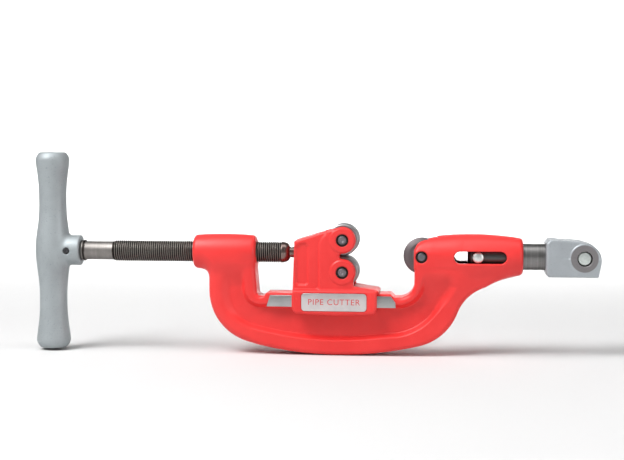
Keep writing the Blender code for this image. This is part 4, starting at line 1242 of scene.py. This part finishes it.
def feed_screw(bright, black, dome):
    """One closed mesh whose thread rows follow the helix."""
    crests = (0.0, 0.4, 0.8, 1.0, 1.0, 0.8, 0.4, 0.0)
    sides = 64
    turn = len(crests)
    rise = THREAD_PITCH / turn
    start, end = THREAD_X[0] - 1.0, DOME_END_X
    rows = int((end - start) / rise) + 1
    angles = 2 * pi * np.arange(sides) / sides
    before = [(SHANK_X, SHANK_R), *stepped(COLLAR_X, SHANK_R, COLLAR_R), (start - 0.5, SHANK_R)]
    after = [(DOME_END_X + 0.3, NECK_R + 0.7), (DOME_END_X + 0.4, NECK_R)]
    after += stepped(NOSE_GROOVE_X, NECK_R, NOSE_GROOVE_R)
    after += [(NOSE_X - 0.8, NECK_R), (NOSE_X, NECK_R - 0.8)]
    points = []
    faces = []

    def ring(along, radius):
        """Adds a row of points and gives their numbers."""
        along = np.broadcast_to(along, sides)
        radius = np.broadcast_to(radius, sides)
        first = len(points)
        points.extend(zip(along, radius * np.cos(angles), radius * np.sin(angles)))
        return list(range(first, first + sides))

    def bridge(low, high):
        for i in range(sides):
            j = (i + 1) % sides
            faces.append([low[i], low[j], high[j], high[i]])

    made = [ring(along, radius) for along, radius in eased(before, 0.2)]
    faces.append(made[0][::-1])
    for low, high in zip(made, made[1:]):
        bridge(low, high)
    last = made[-1]
    helix = []
    for i in range(rows):
        along = np.clip(start + rise * (i + turn * np.arange(sides) / sides), start, end)
        helix.append(ring(along, screw_radius(along, crests[i % turn])))
    for i in range(sides - 1):
        faces.append([last[i], last[i + 1], helix[0][i + 1], helix[0][i]])
    faces.append([last[-1], last[0]] + [helix[i][0] for i in range(turn + 1)] + [helix[0][-1]])
    for low, high in zip(helix, helix[1:]):
        for i in range(sides - 1):
            faces.append([low[i], low[i + 1], high[i + 1], high[i]])
    for i in range(rows - 1 - turn):
        faces.append([helix[i][-1], helix[i + turn][0], helix[i + turn + 1][0], helix[i + 1][-1]])
    tail = [ring(along, radius) for along, radius in eased(after, 0.15)]
    top = helix[-1]
    for i in range(sides - 1):
        faces.append([top[i], top[i + 1], tail[0][i + 1], tail[0][i]])
    seam = [helix[i][-1] for i in range(rows - 1 - turn, rows)]
    faces.append(seam + [tail[0][-1], tail[0][0], helix[-1][0]])
    for low, high in zip(tail, tail[1:]):
        bridge(low, high)
    faces.append(tail[-1])
    piece = outward(new_piece("screw_body", points, faces, SCREW))
    piece.data.materials.append(bright)
    piece.data.materials.append(black)
    piece.data.materials.append(dome)
    for polygon in piece.data.polygons:
        along = (polygon.center.x - SCREW.x) / MM
        polygon.material_index = int(along > THREAD_X[0]) + int(along > THREAD_X[1] + 0.4)
    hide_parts("feed_screw")
    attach(piece, "screw")


def grip_radius(along):
    """A swell in the middle and at each end, and a taper past the grip's end."""
    wave = (0.5 + 0.5 * np.cos(2 * pi * along / GRIP_WAVE)) ** GRIP_SHARP
    past = np.maximum(np.abs(along) - GRIP_END, 0.0)
    return WAIST_R + SWELL * wave - past ** 2 / (2 * GRIP_END_R)


def handle_distance(x, y, z):
    grip = GRIP_SCALE * (np.hypot(x - HANDLE_X, y) - grip_radius(z))
    grip = rounded(grip, np.abs(z) - HANDLE_HALF, GRIP_EDGE)
    out = np.hypot(y, z)
    hub = rounded(out - HUB_R, between(x, (HANDLE_X - 5.0, HUB_FACE_X)), HUB_EDGE)
    body = blend_union(grip, hub, HUB_FILLET)
    core = np.hypot(x - HANDLE_X, y) - CORE_R
    core = rounded(core, HANDLE_HALF - CORE_DEEP - np.abs(z), CORE_EDGE)
    body = blend_cut(body, core, BORE_EDGE)
    bore = np.maximum(out - SHANK_R - GAP, SHANK_X - GAP - x)
    body = blend_cut(body, bore, HOLE_EDGE)
    pin = np.hypot(x - DRIVE_PIN_X, z) - DRIVE_PIN_R - GAP
    return blend_cut(body, pin, HOLE_EDGE)


def spring_pin(steel):
    """A coiled spring pin: a strip rolled into a spiral."""
    reach = HUB_R - 0.6
    steps = 60
    outline = []
    for side in (0.0, STRIP_THICK):
        line = []
        for i in range(steps + 1):
            share = i / steps
            radius = DRIVE_PIN_R - side - (DRIVE_PIN_R - STRIP_START_R) * share
            angle = 2 * pi * STRIP_TURNS * share
            line.append((radius * cos(angle), radius * sin(angle)))
        outline += line if side == 0.0 else line[::-1]
    count = len(outline)
    points = [(x + DRIVE_PIN_X, y, z) for y in (-reach, reach) for x, z in outline]
    faces = []
    for i in range(count):
        j = (i + 1) % count
        faces.append([i, j, j + count, i + count])
    for i in range(steps):
        j = count - 1 - i
        faces.append([i, i + 1, j - 1, j])
        faces.append([i + count, i + 1 + count, j - 1 + count, j + count])
    pin = outward(new_piece("coiled_pin", points, faces, SCREW))
    finish(pin, "screw", "bright_steel", steel, "handle_drive_pin")


def handle(zinc, black, pin_steel):
    """The cast handle, its drive pin, and the snap ring between its hub and the screw's collar."""
    reach = WAIST_R + SWELL
    low = (HANDLE_X - reach, -reach, -HANDLE_HALF)
    high = (HUB_FACE_X, reach, HANDLE_HALF)
    body = casting("handle_body", handle_distance, low, high, SCREW, STEP)
    finish(body, "screw", "cast_grey", zinc, "t_handle")
    spring_pin(pin_steel)
    near = COLLAR_X[1] + GAP
    far = near + 1.3
    loop = [(near, SHANK_R + GAP), (near, COLLAR_R + 0.4), (far, COLLAR_R + 0.4), (far, SHANK_R + GAP)]
    ring = turned("snap_ring", loop, "X", SCREW, ring=True)
    finish(ring, "screw", "black_oxide", black, "screw_snap_ring")


# ---------------------------------------------------------------- shaft, bracket and pivot


def shaft(bright):
    """The round shaft, tapered at its hidden end, and the domed pin across it."""
    x0, x1 = SHAFT_X
    profile = [(x0, 0.0), (x0, SHAFT_R - SHAFT_TAPER[1]), (x0 + SHAFT_TAPER[0], SHAFT_R)]
    profile += [(x1 - 1.0, SHAFT_R), (x1, SHAFT_R - 1.0), (x1, 0.0)]
    piece = turned("shaft_bar", profile, "X", PIVOT, ease_by=0.3)
    finish(piece, "swivel", "bright_steel", bright, "float_shaft")
    steps = 8
    dome = []
    for i in range(steps + 1):
        angle = pi / 2 * i / steps
        dome.append((GUIDE_PIN_HALF + GUIDE_PIN_DOME * (cos(angle) - 1.0), GUIDE_PIN_R * sin(angle)))
    at = (GUIDE_PIN_X, 0.0, 0.0)
    steel = pale_steel("guide_pin_steel", Vector(at) * MM, (0.88, 0.92, 0.90))
    pin = turned("guide_bar", both_ways(dome), "Y", PIVOT, at, ease_by=0.05)
    finish(pin, "swivel", "bright_steel", steel, "guide_pin")


def bracket_outline():
    """The knuckle: chamfered on the shaft's side, round above and square below, where it stops."""
    x0, x1 = BRACKET_X
    top, bottom = BRACKET_TOP_Z, BRACKET_BOTTOM_Z
    high, low = BRACKET_CHAMFER
    outline = [(x0, top - high), (x0, bottom + low), (x0 + low, bottom)]
    outline += [(x1 - 3.4, bottom), (x1 - 2.5, bottom + 0.8)]
    outline += arc(NOSE_CENTRE, NOSE_R, -8.0, 78.0, 16)
    return outline + [(-4.0, top - 1.6), (x0 + high, top)]


def bracket_distance(x, y, z):
    """The upper half lies back from the lower near the eye, whose machined pad stands proud of it."""
    walls = outline_distance(bracket_outline(), x, z)
    back = BRACKET_STEP * patch(x, z, *STEP_FADE)
    edge = BRACKET_EDGE + LEFT_EDGE * ease(-x, *LEFT_EDGE_FADE)
    body = rounded(rounded(walls, back - BRACKET_HALF - y, edge), y - BRACKET_HALF, BRACKET_EDGE)
    pad = rounded(np.hypot(x, z) - EYE_PAD_R, -BRACKET_HALF - y, 0.3)
    pad = np.maximum(np.maximum(pad, y), walls + 0.6)
    body = blend_union(body, pad, EYE_PAD_FILLET)
    body = blend_cut(body, np.hypot(x - 0.25, z + 0.25) - PIVOT_R - 0.7, SEAT_EDGE)
    socket = np.maximum(np.hypot(y, z) - SHAFT_R - GAP, x - SHAFT_X[1] - GAP)
    body = blend_cut(body, socket, HOLE_EDGE)
    body = np.maximum(body, LOCK_PIN_R + GAP - np.hypot(x - LOCK_PIN_X, y))
    hole = np.maximum(np.hypot(x, y - SET_SCREW_Y) - SET_SCREW_R - GAP, z - SET_SCREW_HOLE_Z)
    return np.maximum(body, -hole)


def bracket(zinc, black, bright):
    """The cast knuckle, the pin that locks the shaft, and the screw that keeps the pivot pin."""
    low = (BRACKET_X[0], -BRACKET_HALF, BRACKET_BOTTOM_Z)
    high = (BRACKET_X[1], BRACKET_HALF, BRACKET_TOP_Z)
    body = casting("bracket_body", bracket_distance, low, high, PIVOT, FINE_STEP)
    finish(body, "swivel", "cast_grey", zinc, "swivel_bracket")
    profile = rod(LOCK_PIN_Z, LOCK_PIN_R)
    lock = turned("lock_pin", profile, "Z", PIVOT, (LOCK_PIN_X, 0.0, 0.0), ease_by=0.5)
    finish(lock, "swivel", "bright_steel", bright, "shaft_lock_pin")
    low_z, shoulder_z, tip_z = SET_SCREW_Z
    deep_z = low_z + SET_SCREW_SOCKET
    profile = [(deep_z, 0.0), (deep_z, SOCKET_R), (low_z, SOCKET_MOUTH_R), (low_z, SET_SCREW_R)]
    profile += [(shoulder_z, SET_SCREW_R), (shoulder_z, DOG_R), (tip_z, DOG_R), (tip_z, 0.0)]
    screw = turned("dog_screw", profile, "Z", PIVOT, (0.0, SET_SCREW_Y, 0.0))
    finish(screw, "swivel", "black_oxide", black, "pin_set_screw")


def pivot_pin():
    """Journal in the bracket's eye, shoulder behind it, and the carriage's spigot."""
    front = -BRACKET_HALF + 1.2
    shoulder = BRACKET_HALF + GAP
    collar_end = shoulder + PIN_COLLAR_WIDE
    end = SPIGOT_END_Y
    groove_r = SPIGOT_R - SPIGOT_GROOVE
    profile = [(front, 0.0), (front, PIVOT_R - 0.7), (front + 0.7, PIVOT_R)]
    profile += stepped(DOG_GROOVE_Y, PIVOT_R, DOG_GROOVE_R)
    profile += [(shoulder, PIVOT_R), (shoulder, PIN_COLLAR_R)]
    profile += [(collar_end, PIN_COLLAR_R), (collar_end, SPIGOT_R)]
    profile += [(end - 10.0, SPIGOT_R), (end - 9.0, groove_r), (end - 6.0, groove_r)]
    profile += [(end - 5.0, SPIGOT_R), (end - 1.5, SPIGOT_R), (end, SPIGOT_R - 1.5), (end, 0.0)]
    steel = pale_steel("pivot_pin_steel", PIVOT, (0.80, 0.86, 0.83))
    piece = turned("pivot_bar", profile, "Y", PIVOT)
    finish(piece, "carriage_pin", "bright_steel", steel, "pivot_pin")


# ---------------------------------------------------------------- studio


def studio():
    """A pale floor that curves up into a backdrop, four soft lights and a camera."""
    floor_z = CAD_BOX[0][2] - FLOOR_DROP
    front, back = SWEEP_Y
    depth = [(front, 0.0), *arc((back, SWEEP_R), SWEEP_R, -90.0, 0.0, 15), (back + SWEEP_R, SWEEP_TOP)]
    points = [(x, y, floor_z + z) for y, z in depth for x in (-SWEEP_HALF, SWEEP_HALF)]
    faces = [[2 * i, 2 * i + 1, 2 * i + 3, 2 * i + 2] for i in range(len(depth) - 1)]
    mesh = bpy.data.meshes.new("studio_sweep")
    mesh.from_pydata(points, [], faces)
    mesh.shade_smooth()
    sweep = bpy.data.objects.new("studio_sweep", mesh)
    mesh.materials.append(studio_paper())
    bpy.context.scene.collection.objects.link(sweep)

    world = bpy.data.worlds.new("studio")
    world.use_nodes = True
    world.node_tree.nodes["Background"].inputs["Color"].default_value = (1.0, 1.0, 1.0, 1.0)
    world.node_tree.nodes["Background"].inputs["Strength"].default_value = 0.22
    bpy.context.scene.world = world
    tool = (-0.24, 0.0, -0.02)
    lights = (("key", (-1.5, -1.1, 1.95), tool, (1.4, 1.4), 80.0),
              ("right", (1.7, -1.1, 0.4), tool, (0.8, 1.2), 15.0),
              ("top", (-0.15, -0.3, 1.7), tool, (1.8, 0.8), 10.0),
              ("wash", (0.0, 1.6, 2.2), (0.0, 2.5, 0.2), (3.0, 0.6), 78.0))
    for name, place, aim, size, power in lights:
        light = bpy.data.lights.new(name, "AREA")
        light.shape = "RECTANGLE"
        light.size, light.size_y = size
        light.energy = power
        if name == "wash":
            light.spread = radians(110.0)
        lamp = bpy.data.objects.new(name, light)
        lamp.location = place
        lamp.rotation_euler = (Vector(aim) - Vector(place)).to_track_quat("-Z", "Y").to_euler()
        bpy.context.scene.collection.objects.link(lamp)

    lens = bpy.data.cameras.new("camera")
    lens.lens = CAMERA_LENS
    lens.sensor_width = 36.0
    camera = bpy.data.objects.new("camera", lens)
    camera.location = CAMERA_PLACE
    camera.rotation_euler = [radians(a) for a in (90.0 - CAMERA_DOWN, CAMERA_ROLL, CAMERA_TURN)]
    bpy.context.scene.collection.objects.link(camera)
    bpy.context.scene.camera = camera
    bpy.context.scene.view_settings.view_transform = "Standard"


# ---------------------------------------------------------------- assembly

studio()
red = red_enamel("red_enamel")
# The frame's enamel is near-black inside the shaft's bore and slot: bare metal and painted shade.
bore_from = WHEEL + Vector((BORE_X - 1.0, 0.0, 0.0)) * MM
frame_red = red_enamel("frame_enamel", bore=(SHAFT_R + GAP, bore_from))
black = black_oxide("oxide_fittings")
handle_zinc = cast_zinc("handle_zinc", (0.38, 0.415, 0.43), grain=0.25, shine=(0.48, 0.60))
bracket_zinc = cast_zinc("bracket_zinc", (0.41, 0.44, 0.465), grain=0.35, ring_at=PIVOT)
screw_bright = turned_steel("shank_steel", "X", SCREW, (0.32, 0.30, 0.285), shine=(0.42, 0.55))
screw_black = black_oxide("thread_oxide", "X", SCREW, crest_r=THREAD_R)
screw_dome = turned_steel("dome_steel", "X", SCREW, (0.27, 0.20, 0.18), shine=(0.2, 0.34))
# The shaft is darker where it runs inside the barrel: oil and painted shade.
barrel_end_on_shaft = (WHEEL.x - PIVOT.x) / MM + BARREL_END_X
shaft_colour = (0.31, 0.305, 0.30)
shaft_steel = turned_steel("shaft_steel", "X", PIVOT, shaft_colour, (0.32, 0.46), streak=0.55, oil_and_shade_end=barrel_end_on_shaft)

frame_casting(frame_red, ground_steel("rail_steel", (0.50, 0.51, 0.51), "X"))
saddle(red, black, plate_metal(), printed_ink())
roller("upper", UPPER)
roller("lower", LOWER)
cutter_wheel()
wheel_axle(black)
feed_screw(screw_bright, screw_black, screw_dome)
handle(handle_zinc, black, turned_steel("spring_pin_steel", "Y", SCREW, (0.20, 0.20, 0.21)))
shaft(shaft_steel)
bracket(bracket_zinc, black, shaft_steel)
pivot_pin()
